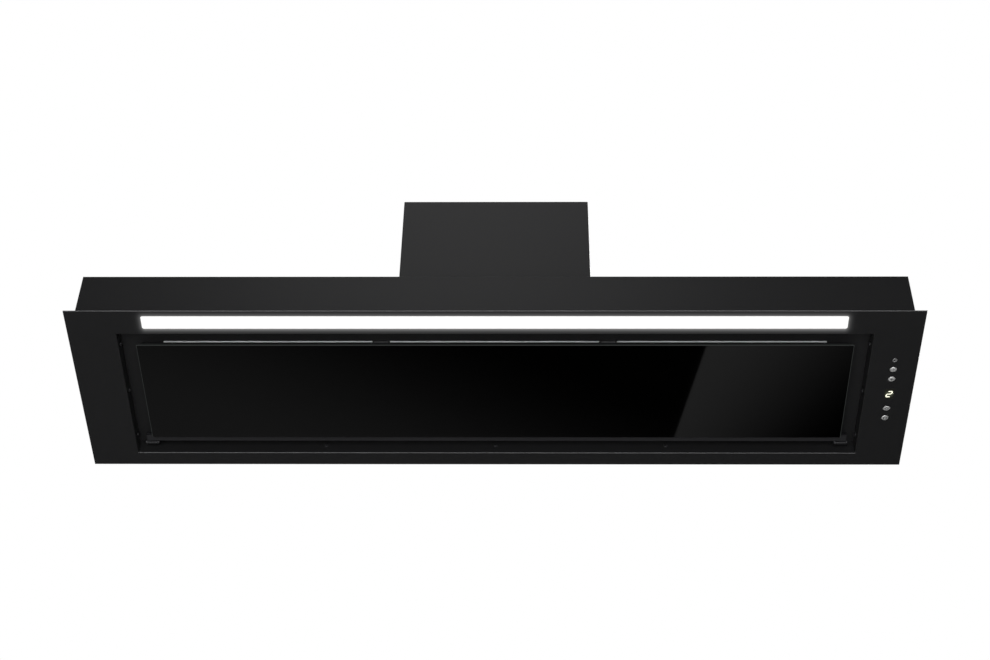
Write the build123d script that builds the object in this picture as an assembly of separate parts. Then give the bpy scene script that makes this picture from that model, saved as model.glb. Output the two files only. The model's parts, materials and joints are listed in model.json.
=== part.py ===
"""Built-in range hood for a wall cabinet, in millimetres.

The origin is the middle of the face plate's underside. +X runs to the user's right, where the
buttons are, +Y runs back to the wall, and +Z runs up into the cabinet.
"""
from build123d import *
import math
import os

# Face plate: flat sheet with an upstand welded on inside the body
PLATE_WIDTH = 1200.0
PLATE_DEPTH = 310.0
PLATE_SHEET = 1.2
PLATE_EDGE = 0.4
BEND_RADIUS = 1.0
END_OVERHANG = 15.0
LONG_OVERHANG = 7.0
UPSTAND_HEIGHT = 15.3

# Body above the face plate
BODY_HEIGHT = 79.8
BODY_SHEET = 1.0
BODY_BEND_RADIUS = 1.5
CAP_TAB = 12.0
WALL_HOLE_RADIUS = 2.6
WALL_HOLE_PITCH = 200.0
WALL_HOLE_HEIGHT = 55.0

# Recess in the face plate that holds the glass panel
RECESS_WIDTH = 1063.0
RECESS_FRONT_BORDER = 43.7
RECESS_BACK_BORDER = 25.0
RECESS_HEIGHT = 24.5

# Filter deck, a tray over the recess
DECK_SHEET = 1.0
DECK_FLANGE_DROP = 16.0

# Screws
SCREW_HEAD_RADIUS = 3.6
SCREW_HEAD_HEIGHT = 2.0
SCREW_SHANK_RADIUS = 1.95
SCREW_LENGTH = 6.5
SCREW_HOLE_GAP = 0.15
SCREW_CROSS_WIDTH = 0.8
SCREW_CROSS_DEPTH = 1.1
SCREW_HEAD_EDGE = 1.2
RECESS_SCREW_HEIGHT = 15.0
END_SCREW_PITCH = 92.0
END_SCREW_SHIFT = 5.0
LONG_SCREW_PITCH = 252.5

# Grease filters
FILTER_WIDTH = 297.5
FILTER_DEPTH = 173.0
FILTER_THICKNESS = 9.0
FILTER_PITCH = 323.2
FILTER_FRONT_STRIP = 37.2
FILTER_SIDE_GAP = 0.75
FILTER_DROP = 0.5
FILTER_FRAME_FACE = 13.0
FILTER_FRAME_WALL = 1.0
FILTER_TAB_WIDTH = 20.0
FILTER_TAB_REACH = 6.0
FILTER_TAB_PITCH = 180.0
FILTER_TAB_THICKNESS = 1.2
MESH_SIDE_GAP = 0.3
MESH_FACE_GAP = 0.2
MESH_PITCH_X = 18.0
MESH_PITCH_Y = 11.0
MESH_STRAND = 2.5

# Sliding latch of each filter, and the moulded cup round its finger tab
LATCH_WIDTH = 30.0
LATCH_THICKNESS = 1.5
LATCH_REACH = 4.0
LATCH_LENGTH = 24.0
LATCH_TRAVEL = 5.5
LATCH_LIFT = 0.5
LATCH_GAP = 0.3
LATCH_TAB_SETBACK = 16.0
LATCH_TAB_THICKNESS = 2.0
LATCH_TAB_WIDTH = 22.0
LATCH_TAB_DROP = 6.0
LATCH_TAB_EDGE = 0.8
CUP_WALL = 1.5
CUP_WIDTH = 38.0
CUP_ROOM = 9.5
CUP_RIM = 1.5
CUP_RIM_HEIGHT = 0.8

# Glass panel
PANEL_END_GAP = 24.0
PANEL_FRONT_GAP = 26.3
PANEL_BACK_GAP = 28.0
GLASS_THICKNESS = 4.0
GLASS_HEIGHT = 4.7
GLASS_CHAMFER = 0.6
TRAY_INSET = 6.0
TRAY_SHEET = 1.0
TRAY_FLANGE = 7.5
TRAY_LIP_REACH = 11.0
TRAY_LIP_INSET = 3.0
TRAY_TAB_MARGIN = 3.0
TRAY_TAB_OVERLAP = 1.0

# Hinges of the glass panel
HINGE_SPACING = 1020.0
HINGE_BACK_GAP = 10.5
HINGE_HEIGHT = 12.0
HINGE_PIN_RADIUS = 1.5
HINGE_PLAY = 0.05
HINGE_EYE_RADIUS = 3.5
HINGE_ARM_WIDTH = 14.0
HINGE_ARM_THICKNESS = 3.0
HINGE_ARM_LENGTH = 18.0
HINGE_SIDE_GAP = 0.3
HINGE_EAR_THICKNESS = 1.5
HINGE_EAR_RADIUS = 4.0
HINGE_BASE_THICKNESS = 1.2
HINGE_BASE_REACH = 34.0
HINGE_BASE_DEPTH = 19.0
HINGE_SCREW_SETBACK = 18.0
HINGE_SCREW_PITCH = 10.0
HINGE_PIN_HEAD_RADIUS = 2.6
HINGE_PIN_HEAD_HEIGHT = 1.0

# Magnetic catches of the glass panel
CATCH_WIDTH = 22.0
CATCH_DEPTH = 14.0
CATCH_HEIGHT = 4.4
CATCH_EDGE = 1.2
CATCH_SETBACK = 34.3
MAGNET_WIDTH = 16.0
MAGNET_DEPTH = 5.0
MAGNET_HEIGHT = 4.0
MAGNET_PROUD = 0.3
CATCH_GAP = 0.3
STRIKE_WIDTH = 18.0
STRIKE_DEPTH = 10.0
STRIKE_SHEET = 1.2

# Light strip
LIGHT_LENGTH = 986.0
LIGHT_WIDTH = 23.6
LIGHT_CORNER = 3.0
LIGHT_SETBACK = 9.8
DIFFUSER_GAP = 0.1
DIFFUSER_SHOULDER = 2.2
DIFFUSER_SHOULDER_HEIGHT = 1.9
CHANNEL_WALL = 1.2
CHANNEL_TOP = 1.6
CHANNEL_HEIGHT = 14.0
CHANNEL_END_REACH = 1.0
CHANNEL_FRONT_GAP = 0.2
CHANNEL_BACK_REACH = 2.0
STRIP_BOARD_THICKNESS = 1.6
STRIP_BOARD_WIDTH = 14.0
LED_PITCH = 16.0
LED_LENGTH = 3.5
LED_WIDTH = 2.8
LED_HEIGHT = 0.8
CLIP_PITCH = 300.0
CLIP_COUNT = 4
CLIP_WIDTH = 16.0
CLIP_SHEET = 1.0
CLIP_DROP = 9.0
CLIP_REACH = 18.0
DRIVER_LENGTH = 120.0
DRIVER_WIDTH = 40.0
DRIVER_HEIGHT = 22.0
DRIVER_EDGE = 2.0
DRIVER_X = -360.0
DRIVER_FLANGE = 14.0
DRIVER_FLANGE_THICKNESS = 3.0

# Controls on the right border
CONTROL_X = 566.8
CONTROL_MIDDLE_Y = 7.0
BUTTON_RADIUS = 5.0
BUTTON_GAP = 0.3
BUTTON_CAP_HEIGHT = 1.3
BUTTON_FLANGE_RADIUS = 6.2
BUTTON_FLANGE_HEIGHT = 1.0
BUTTON_STEM_RADIUS = 2.5
BUTTON_STEM_GAP = 0.1
BUTTON_SWITCH_GAP = 0.2
BUTTON_TRAVEL = 0.8
BUTTON_EDGE = 0.3
BUTTON_PITCH = 19.3
BUTTON_OFFSET = 29.5
SENSOR_RADIUS = 3.7
SENSOR_OFFSET = 67.0
LENS_FIT = 0.1
LENS_SHOULDER = 1.2
DISPLAY_WIDTH = 13.5
DISPLAY_LENGTH = 19.6
DISPLAY_MODULE_HEIGHT = 7.4
HOUSING_WIDTH = 30.0
HOUSING_FRONT_REACH = 82.0
HOUSING_BACK_REACH = 66.0
HOUSING_HEIGHT = 12.8
HOUSING_WALL = 1.5
HOUSING_FLOOR = 3.4
HOUSING_FLOOR_THICKNESS = 1.2
BOARD_HEIGHT = 10.0
BOARD_THICKNESS = 1.6
BOARD_GAP = 0.4
BOARD_POST_RADIUS = 2.4
BOARD_POST_INSET = 4.6
SWITCH_SIZE = 6.0
SWITCH_HEIGHT = 1.8
COVER_THICKNESS = 1.5
COVER_LIP = 1.5
COVER_LIP_HEIGHT = 2.0
COVER_FIT = 0.1

# Motor tower and its lid
TOWER_WIDTH = 275.0
TOWER_DEPTH = 246.0
TOWER_HEIGHT = 196.5
TOWER_SHEET = 1.0
TOWER_FOOT = 12.0
LID_FLANGE = 14.0
THROAT_MARGIN = 1.5
FOOT_SCREW_PITCH = 180.0
LID_SCREW_PITCH = 150.0
LID_SCREW_DROP = 9.0

# Duct collar and its damper
COLLAR_RADIUS = 74.5
COLLAR_WALL = 2.0
COLLAR_HEIGHT = 45.0
COLLAR_FLANGE_RADIUS = 88.0
COLLAR_FLANGE_THICKNESS = 2.0
COLLAR_SCREW_RADIUS = 81.5
DAMPER_HEIGHT = 17.0
DAMPER_PIN_RADIUS = 1.5
DAMPER_PLAY = 0.05
DAMPER_KNUCKLE_RADIUS = 3.0
DAMPER_KNUCKLE_LENGTH = 20.0
DAMPER_KNUCKLE_GAP = 0.5
DAMPER_THICKNESS = 1.5
DAMPER_EDGE_GAP = 1.2
DAMPER_MIDDLE_GAP = 4.5
STOP_REACH = 3.5
STOP_THICKNESS = 2.0
STOP_NOTCH = 5.0

# Mains cable gland on the lid
GLAND_X = 112.0
GLAND_BORE_RADIUS = 3.6
GLAND_THREAD_RADIUS = 7.8
GLAND_HEX_RADIUS = 11.0
GLAND_HEX_HEIGHT = 6.0
GLAND_DOME_RADIUS = 9.0
GLAND_DOME_HEIGHT = 11.0
GLAND_DOME_EDGE = 3.0
GLAND_THREAD_LENGTH = 9.0
GLAND_NUT_HEIGHT = 5.0

# Blower: scroll drawn with quarter arcs that grow by one step each
BLOWER_X = -57.5
BLOWER_Z = 162.0
SCROLL_RADIUS = 66.0
SCROLL_STEP = 7.0
SCROLL_TONGUE_ANGLE = 65.0
SCROLL_WIDTH = 110.0
SCROLL_WALL = 1.5
OUTLET_RISE = 78.0
INLET_RADIUS = 50.0
INLET_LIP = 5.0
INLET_LIP_WALL = 2.0
SCROLL_FOOT_LENGTH = 64.0
SCROLL_FOOT_WIDTH = 20.0
SCROLL_FOOT_HEIGHT = 12.0
ADAPTER_WALL = 1.5
ADAPTER_TOP = 142.0
ADAPTER_TOP_THICKNESS = 1.0
ADAPTER_HOLE_RADIUS = 70.0

# Impeller, shaft and motor
IMPELLER_INNER_RADIUS = 49.5
IMPELLER_OUTER_RADIUS = 61.0
IMPELLER_HALF_WIDTH = 42.0
IMPELLER_RING = 2.0
IMPELLER_DISC = 2.0
BLADE_COUNT = 36
BLADE_ARC_RADIUS = 9.0
BLADE_THICKNESS = 1.0
BLADE_ARC_X = 52.5
BLADE_ARC_Y = 8.5
BLADE_ARC_START = -105.0
BLADE_ARC_SIZE = 69.0
HUB_RADIUS = 9.0
HUB_LENGTH = 15.0
SHAFT_RADIUS = 4.0
SHAFT_FRONT = 16.0
SHAFT_BACK = 66.0
MOTOR_RADIUS = 38.0
MOTOR_START = 8.0
MOTOR_END = 62.0
MOTOR_EDGE = 2.5
MOTOR_BORE_PLAY = 0.05
SPIDER_THICKNESS = 2.5
SPIDER_HUB_RADIUS = 30.0
SPIDER_HOLE_RADIUS = 12.0
SPIDER_ARM_WIDTH = 14.0
SPIDER_REACH = 68.0
SPIDER_LEG = 12.0
SPIDER_SCREW_RADIUS = 23.0
BUSH_THICKNESS = 2.0
BUSH_RADIUS = 5.0

# Rails under the blower
RAIL_SPREAD = 80.0
RAIL_WIDTH = 18.0
RAIL_HEIGHT = 3.0
RAIL_TAB_HEIGHT = 18.0
RAIL_TAB_THICKNESS = 2.0
RAIL_BUSH_RADIUS = 7.0
RAIL_SCREW_PITCH = 48.0
RAIL_SCREW_LENGTH = 9.0

# Terminal box in the tower
BOX_DEPTH = 50.0
BOX_WIDTH = 100.0
BOX_BOTTOM = 110.0
BOX_HEIGHT = 90.0
BOX_WALL = 2.0
BOX_LID = 2.0
BOX_EDGE = 4.0
CAPACITOR_RADIUS = 15.0
CAPACITOR_LENGTH = 60.0
CAPACITOR_Y = 25.0
CAPACITOR_EDGE = 2.0

# Internal leads
LEAD_RADIUS = 3.0
LEAD_FIT = 0.05
LEAD_HEIGHT = 68.0
LEAD_BEND = 30.0
LEAD_END_BEND = 18.0
CONTROL_LEAD_Y = 14.0
DRIVER_LEAD_Y = -14.0
LIGHT_LEAD_OVERRUN = 22.0
LIGHT_LEAD_Y = -130.0
LIGHT_LEAD_HEIGHT = 9.0
MOTOR_LEAD_Y = 90.0
MOTOR_LEAD_RADIUS = 33.5
MOTOR_LEAD_ANGLE = 30.0
LEAD_CLIP_WIDTH = 8.0
LEAD_CLIP_MARGIN = 3.0
CONTROL_CLIP_PLACES = (200.0, 350.0, 500.0)
DRIVER_CLIP_PLACES = (-200.0, -480.0)
BOX_LEAD_INSET = 35.0

# Places worked out from the sizes above
plate_x = PLATE_WIDTH / 2
plate_y = PLATE_DEPTH / 2
body_x = plate_x - END_OVERHANG
body_y = plate_y - LONG_OVERHANG
body_top = PLATE_SHEET + BODY_HEIGHT
upstand_x = body_x - BODY_SHEET
upstand_y = body_y - BODY_SHEET
upstand_top = PLATE_SHEET + UPSTAND_HEIGHT
recess_x = RECESS_WIDTH / 2
recess_front = -plate_y + RECESS_FRONT_BORDER
recess_back = plate_y - RECESS_BACK_BORDER
recess_middle = (recess_front + recess_back) / 2
deck_under = RECESS_HEIGHT
deck_top = deck_under + DECK_SHEET
filter_front = recess_front + FILTER_FRONT_STRIP
filter_back = filter_front + FILTER_DEPTH
filter_under = deck_under - FILTER_DROP
filter_top = filter_under + FILTER_THICKNESS
filter_x = FILTER_WIDTH / 2
latch_under = deck_top + LATCH_LIFT
cup_length = LATCH_LENGTH + LATCH_TRAVEL + CUP_ROOM - FILTER_FRAME_FACE
panel_x = recess_x - PANEL_END_GAP
panel_front = recess_front + PANEL_FRONT_GAP
panel_back = recess_back - PANEL_BACK_GAP
tray_under = GLASS_HEIGHT + GLASS_THICKNESS
tray_floor = tray_under + TRAY_SHEET
tray_top = tray_floor + TRAY_FLANGE
pivot_y = recess_back - HINGE_BACK_GAP
pivot_z = HINGE_HEIGHT
catch_front = recess_front + CATCH_SETBACK
catch_face = deck_under - CATCH_HEIGHT - MAGNET_PROUD
light_front = -plate_y + LIGHT_SETBACK
light_back = light_front + LIGHT_WIDTH
channel_under = PLATE_SHEET + DIFFUSER_SHOULDER_HEIGHT
channel_top = channel_under + CHANNEL_HEIGHT
channel_x = LIGHT_LENGTH / 2 + CHANNEL_END_REACH
light_lead_x = -channel_x - LIGHT_LEAD_OVERRUN
channel_front = -upstand_y + PLATE_SHEET + CHANNEL_FRONT_GAP
channel_back = light_back + CHANNEL_BACK_REACH
button_places = {
    "power_button": CONTROL_MIDDLE_Y + BUTTON_OFFSET + BUTTON_PITCH,
    "light_button": CONTROL_MIDDLE_Y + BUTTON_OFFSET,
    "faster_button": CONTROL_MIDDLE_Y - BUTTON_OFFSET,
    "slower_button": CONTROL_MIDDLE_Y - BUTTON_OFFSET - BUTTON_PITCH,
}
sensor_y = CONTROL_MIDDLE_Y - SENSOR_OFFSET
housing_left = CONTROL_X - HOUSING_WIDTH / 2
housing_right = CONTROL_X + HOUSING_WIDTH / 2
housing_front = CONTROL_MIDDLE_Y - HOUSING_FRONT_REACH
housing_back = CONTROL_MIDDLE_Y + HOUSING_BACK_REACH
housing_top = PLATE_SHEET + HOUSING_HEIGHT
housing_floor_top = HOUSING_FLOOR + HOUSING_FLOOR_THICKNESS
stem_top = BOARD_HEIGHT - SWITCH_HEIGHT - BUTTON_SWITCH_GAP - BUTTON_TRAVEL
tower_x = TOWER_WIDTH / 2
tower_y = TOWER_DEPTH / 2
tower_top = body_top + TOWER_HEIGHT
lid_under = tower_top - TOWER_SHEET
throat_x = tower_x - TOWER_SHEET - TOWER_FOOT - THROAT_MARGIN
throat_y = tower_y - TOWER_SHEET - TOWER_FOOT - THROAT_MARGIN
collar_top = tower_top + COLLAR_HEIGHT
damper_z = tower_top + DAMPER_HEIGHT
outlet_top = BLOWER_Z + OUTLET_RISE
rail_under = body_top + TOWER_SHEET
rail_top = rail_under + RAIL_HEIGHT
foot_under = rail_top + BUSH_THICKNESS
foot_x = BLOWER_X + SCROLL_STEP
box_inner_x = tower_x - TOWER_SHEET - BOX_DEPTH
box_top = BOX_BOTTOM + BOX_HEIGHT


def block(x0, x1, y0, y1, z0, z1):
    """A box between two corners."""
    middle = Pos((x0 + x1) / 2, (y0 + y1) / 2, (z0 + z1) / 2)
    return middle * Box(x1 - x0, y1 - y0, z1 - z0)


def ring_block(x, y0, y1, wall, z0, z1):
    """A rectangular ring, centred on X, whose wall lies outside the given inner size."""
    outer = block(-x - wall, x + wall, y0 - wall, y1 + wall, z0, z1)
    return outer - block(-x, x, y0, y1, z0 - 1, z1 + 1)


def rod_x(radius, x0, x1, y, z):
    return Pos((x0 + x1) / 2, y, z) * Rot(0, 90, 0) * Cylinder(radius, x1 - x0)


def rod_z(radius, x, y, z0, z1):
    return Pos(x, y, (z0 + z1) / 2) * Cylinder(radius, z1 - z0)


def placed(shape, origin, direction):
    """Moves a shape so that its own +Z points along the direction from the origin."""
    return Plane(origin=origin, z_dir=direction).location * shape


def pan_screw(length):
    """A pan-head screw with a cross recess: its shank runs along +Z from the head's seat."""
    head = Pos(0, 0, -SCREW_HEAD_HEIGHT / 2) * Cylinder(SCREW_HEAD_RADIUS, SCREW_HEAD_HEIGHT)
    head = fillet(head.edges().sort_by(Axis.Z)[0], SCREW_HEAD_EDGE)
    shank = Pos(0, 0, length / 2) * Cylinder(SCREW_SHANK_RADIUS, length)
    slot = Box(SCREW_HEAD_RADIUS, SCREW_CROSS_WIDTH, SCREW_CROSS_DEPTH)
    slot = Pos(0, 0, -SCREW_HEAD_HEIGHT + SCREW_CROSS_DEPTH / 2) * slot
    return head + shank - slot - Rot(0, 0, 90) * slot


def screw_hole(origin, direction, gap, depth):
    """The hole that a screw needs in the sheets that it passes through."""
    return placed(Pos(0, 0, depth / 2) * Cylinder(SCREW_SHANK_RADIUS + gap, depth), origin, direction)


def save(shape, name):
    export_step(shape, "parts/" + name + ".step")


def group(solids):
    return Compound(children=list(solids))


def recess_screw_places():
    """Head seats and directions of the screws that join the recess walls to the deck's flanges."""
    places = []
    for step in (-1, 0, 1):
        y = recess_middle + END_SCREW_SHIFT + step * END_SCREW_PITCH
        places.append(((-recess_x, y, RECESS_SCREW_HEIGHT), (-1, 0, 0)))
        places.append(((recess_x, y, RECESS_SCREW_HEIGHT), (1, 0, 0)))
        x = step * LONG_SCREW_PITCH
        places.append(((x, recess_front, RECESS_SCREW_HEIGHT), (0, -1, 0)))
        places.append(((x, recess_back, RECESS_SCREW_HEIGHT), (0, 1, 0)))
    return places


def face_plate():
    """One folded and welded sheet: plate, upstand and recess walls."""
    plate = block(-plate_x, plate_x, -plate_y, plate_y, 0, PLATE_SHEET)
    plate = fillet(plate.faces().sort_by(Axis.Z)[0].edges(), PLATE_EDGE)
    inner_x = upstand_x - PLATE_SHEET
    inner_y = upstand_y - PLATE_SHEET
    plate += ring_block(inner_x, -inner_y, inner_y, PLATE_SHEET, 0, upstand_top)
    wall_x = recess_x + PLATE_SHEET
    walls = block(-wall_x, wall_x, recess_front - PLATE_SHEET, recess_back + PLATE_SHEET, 0, deck_under)
    plate += walls
    plate -= block(-recess_x, recess_x, recess_front, recess_back, -1, deck_under + 1)
    mouth = plate.faces().sort_by(Axis.Z)[0].inner_wires()[0].edges()
    plate = fillet(mouth, BEND_RADIUS)
    half = LIGHT_LENGTH / 2
    window = block(-half, half, light_front, light_back, -1, PLATE_SHEET + 1)
    plate -= fillet(window.edges().filter_by(Axis.Z), LIGHT_CORNER)
    for y in button_places.values():
        plate -= rod_z(BUTTON_RADIUS + BUTTON_GAP, CONTROL_X, y, -1, PLATE_SHEET + 1)
    plate -= rod_z(SENSOR_RADIUS + LENS_FIT, CONTROL_X, sensor_y, -1, PLATE_SHEET + 1)
    opening_x = DISPLAY_WIDTH / 2 + LENS_FIT
    opening_y = DISPLAY_LENGTH / 2 + LENS_FIT
    plate -= block(CONTROL_X - opening_x, CONTROL_X + opening_x,
                   CONTROL_MIDDLE_Y - opening_y, CONTROL_MIDDLE_Y + opening_y, -1, PLATE_SHEET + 1)
    for origin, direction in recess_screw_places():
        plate -= screw_hole(origin, direction, SCREW_HOLE_GAP, PLATE_SHEET + DECK_SHEET / 2)
    return plate


def tower_foot_places():
    """Seats of the screws that hold the tower's feet to the body's top."""
    foot_line = TOWER_SHEET + TOWER_FOOT / 2
    seat = body_top + TOWER_SHEET
    places = []
    for side in (-1, 1):
        for step in (-0.5, 0.5):
            shift = step * FOOT_SCREW_PITCH
            places.append(((shift, side * (tower_y - foot_line), seat), (0, 0, -1)))
            places.append(((side * (tower_x - foot_line), shift, seat), (0, 0, -1)))
    return places


def canopy_shell():
    """Front, top and back of the body, folded from one sheet."""
    shell = block(-body_x, body_x, -body_y, body_y, PLATE_SHEET, body_top)
    top_edges = shell.faces().sort_by(Axis.Z)[-1].edges().filter_by(Axis.X)
    shell = fillet(top_edges, BODY_BEND_RADIUS)
    shell -= block(-body_x - 1, body_x + 1, -upstand_y, upstand_y, 0, body_top - BODY_SHEET)
    shell -= block(-throat_x, throat_x, -throat_y, throat_y, body_top - BODY_SHEET - 1, body_top + 1)
    for origin, direction in tower_foot_places() + driver_screw_places():
        shell -= screw_hole(origin, direction, 0, 2 * SCREW_LENGTH)
    return shell


def end_cap(side):
    """End wall of the body with tabs folded in behind the front, back and top."""
    outer = side * body_x
    inner = side * upstand_x
    tab = side * (upstand_x - CAP_TAB)
    low, high = sorted((outer, inner))
    roof = body_top - BODY_SHEET
    cap = block(low, high, -upstand_y, upstand_y, PLATE_SHEET, roof)
    low, high = sorted((outer, tab))
    cap += block(low, high, -upstand_y, upstand_y, roof - BODY_SHEET, roof)
    for y in (-upstand_y, upstand_y - BODY_SHEET):
        cap += block(low, high, y, y + BODY_SHEET, upstand_top, roof)
    for step in (-0.5, 0.5):
        y = step * WALL_HOLE_PITCH
        cap -= rod_x(WALL_HOLE_RADIUS, min(inner, outer) - 1, max(inner, outer) + 1, y, WALL_HOLE_HEIGHT)
    return cap


def hinge_places():
    return (-HINGE_SPACING / 2, HINGE_SPACING / 2)


def hinge_screw_places():
    """Head seats of the screws that hold the hinge brackets up to the deck."""
    seat = deck_under - HINGE_BASE_THICKNESS
    places = []
    for middle in hinge_places():
        inwards = -math.copysign(1, middle)
        for step in (0, 1):
            x = middle + inwards * (HINGE_SCREW_SETBACK + step * HINGE_SCREW_PITCH)
            places.append(((x, pivot_y, seat), (0, 0, 1)))
    return places


def filter_places():
    return {"left": -FILTER_PITCH, "centre": 0.0, "right": FILTER_PITCH}


def filter_deck():
    """Tray over the recess, with an opening for each filter and flanges outside the recess walls."""
    wall = PLATE_SHEET + DECK_SHEET
    x = recess_x + wall
    deck = block(-x, x, recess_front - wall, recess_back + wall, deck_under - DECK_FLANGE_DROP, deck_top)
    inner_x = x - DECK_SHEET
    deck -= block(-inner_x, inner_x, recess_front - PLATE_SHEET, recess_back + PLATE_SHEET, 0, deck_under)
    for middle in filter_places().values():
        half = filter_x + FILTER_SIDE_GAP
        deck -= block(middle - half, middle + half, filter_front - FILTER_SIDE_GAP,
                      filter_back + FILTER_SIDE_GAP, deck_under - 1, deck_top + 1)
    for origin, direction in recess_screw_places() + hinge_screw_places():
        deck -= screw_hole(origin, direction, 0, 2 * SCREW_LENGTH)
    return deck


def filter_frame(middle):
    """Aluminium channel frame with two tabs at its back and a slot for the latch at its front."""
    frame = block(middle - filter_x, middle + filter_x, filter_front, filter_back, filter_under, filter_top)
    wall = FILTER_FRAME_WALL
    face = FILTER_FRAME_FACE
    frame -= block(middle - filter_x + face, middle + filter_x - face,
                   filter_front + face, filter_back - face, filter_under - 1, filter_top + 1)
    frame -= block(middle - filter_x + wall, middle + filter_x - wall,
                   filter_front + wall, filter_back - wall, filter_under + wall, filter_top - wall)
    slot = LATCH_WIDTH / 2 + LATCH_GAP
    frame -= block(middle - slot, middle + slot, filter_front - 1, filter_front + wall + 1,
                   latch_under - LATCH_GAP, latch_under + LATCH_THICKNESS + LATCH_GAP)
    for step in (-0.5, 0.5):
        x = middle + step * FILTER_TAB_PITCH
        frame += block(x - FILTER_TAB_WIDTH / 2, x + FILTER_TAB_WIDTH / 2, filter_back - wall,
                       filter_back + FILTER_TAB_REACH, latch_under, latch_under + FILTER_TAB_THICKNESS)
    return frame


def cup_bounds(middle):
    """Outer sides of the cup round a latch's finger tab: left, right, front, back."""
    front = filter_front + FILTER_FRAME_FACE
    half = CUP_WIDTH / 2
    return middle - half, middle + half, front, front + cup_length


def filter_mesh(middle):
    """Expanded mesh pack, cut out round the cup and clear of the latch."""
    half = filter_x - FILTER_FRAME_WALL - MESH_SIDE_GAP
    front = filter_front + FILTER_FRAME_WALL + MESH_SIDE_GAP
    back = filter_back - FILTER_FRAME_WALL - MESH_SIDE_GAP
    under = filter_under + FILTER_FRAME_WALL + MESH_FACE_GAP
    height = FILTER_THICKNESS - 2 * (FILTER_FRAME_WALL + MESH_FACE_GAP)
    sheet = Pos(middle, (front + back) / 2) * Rectangle(2 * half, back - front)
    left, right, cup_front, cup_back = cup_bounds(middle)
    notch_back = cup_back + MESH_SIDE_GAP
    notch = Pos(middle, (front + notch_back) / 2 - 1)
    notch = notch * Rectangle(right - left + 2 * MESH_SIDE_GAP, notch_back - front + 2)
    window_x = filter_x - FILTER_FRAME_FACE
    window_front = filter_front + FILTER_FRAME_FACE
    window_back = filter_back - FILTER_FRAME_FACE
    columns = int(window_x / MESH_PITCH_X)
    rows = int((window_back - window_front) / MESH_PITCH_Y) - 1
    first = (window_front + window_back - (rows - 1) * MESH_PITCH_Y) / 2
    share = 1 - MESH_STRAND / 2 * math.hypot(2 / MESH_PITCH_X, 1 / MESH_PITCH_Y)
    reach_x = share * MESH_PITCH_X / 2
    reach_y = share * MESH_PITCH_Y
    gap = Polygon((-reach_x, 0), (0, -reach_y), (reach_x, 0), (0, reach_y))
    gaps = []
    for row in range(rows):
        shift = MESH_PITCH_X / 2 * (row % 2)
        for column in range(-columns, columns):
            x = (column + 0.25) * MESH_PITCH_X + shift
            y = first + row * MESH_PITCH_Y
            beside_cup = abs(x) > CUP_WIDTH / 2 + MESH_PITCH_X / 2 + MESH_STRAND
            behind_cup = y > notch_back + MESH_PITCH_Y + MESH_STRAND
            if beside_cup or behind_cup:
                gaps.append(Pos(middle + x, y) * gap)
    return Pos(0, 0, under) * extrude(sheet - notch - gaps, height)


def filter_latch(middle):
    """Slider whose front edge rests over the deck, with a finger tab hanging below the filter."""
    half = LATCH_WIDTH / 2
    top = latch_under + LATCH_THICKNESS
    latch = block(middle - half, middle + half, filter_front - LATCH_REACH,
                  filter_front + LATCH_LENGTH, latch_under, top)
    tab = filter_front + LATCH_TAB_SETBACK
    finger = block(middle - LATCH_TAB_WIDTH / 2, middle + LATCH_TAB_WIDTH / 2,
                   tab, tab + LATCH_TAB_THICKNESS, filter_under - LATCH_TAB_DROP, top)
    finger = fillet(finger.edges().filter_by(Axis.X).group_by(Axis.Z)[0], LATCH_TAB_EDGE)
    return latch + finger


def latch_cup(middle):
    """Moulded cup in the mesh round the finger tab, slotted for the slider, rimmed below."""
    left, right, front, back = cup_bounds(middle)
    top = filter_top - FILTER_FRAME_WALL - MESH_FACE_GAP
    cup = block(left, right, front, back, filter_under, top)
    rim = block(left - CUP_RIM, right + CUP_RIM, front, back + CUP_RIM,
                filter_under - CUP_RIM_HEIGHT, filter_under)
    cup += rim
    cup -= block(left + CUP_WALL, right - CUP_WALL, front + CUP_WALL, back - CUP_WALL,
                 filter_under - CUP_RIM_HEIGHT - 1, top - CUP_WALL)
    slot = LATCH_WIDTH / 2 + LATCH_GAP
    cup -= block(middle - slot, middle + slot, front - 1, front + CUP_WALL + 1,
                 latch_under - LATCH_GAP, latch_under + LATCH_THICKNESS + LATCH_GAP)
    return cup


def glass_pane():
    pane = block(-panel_x, panel_x, panel_front, panel_back, GLASS_HEIGHT, tray_under)
    edges = pane.faces().sort_by(Axis.Z)[0].edges() + pane.faces().sort_by(Axis.Z)[-1].edges()
    return chamfer(edges, GLASS_CHAMFER)


def panel_tray():
    """Folded steel tray behind the glass, with a lip behind its back edge and a tab under each arm."""
    x = panel_x - TRAY_INSET
    front = panel_front + TRAY_INSET
    back = panel_back - TRAY_INSET
    tray = block(-x, x, front, back, tray_under, tray_top)
    tray -= block(-x + TRAY_SHEET, x - TRAY_SHEET, front + TRAY_SHEET, back - TRAY_SHEET,
                  tray_floor, tray_top + 1)
    lip_x = panel_x - TRAY_LIP_INSET
    tray += block(-lip_x, lip_x, back - TRAY_SHEET, panel_back + TRAY_LIP_REACH, tray_under, tray_floor)
    for middle in hinge_places():
        outwards = math.copysign(1, middle)
        half = HINGE_ARM_WIDTH / 2
        low, high = sorted((middle - outwards * (half + TRAY_TAB_MARGIN), middle + outwards * half))
        tray += block(low, high, panel_back - TRAY_TAB_OVERLAP, panel_back + TRAY_LIP_REACH,
                      tray_under, tray_floor)
    return tray


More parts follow.
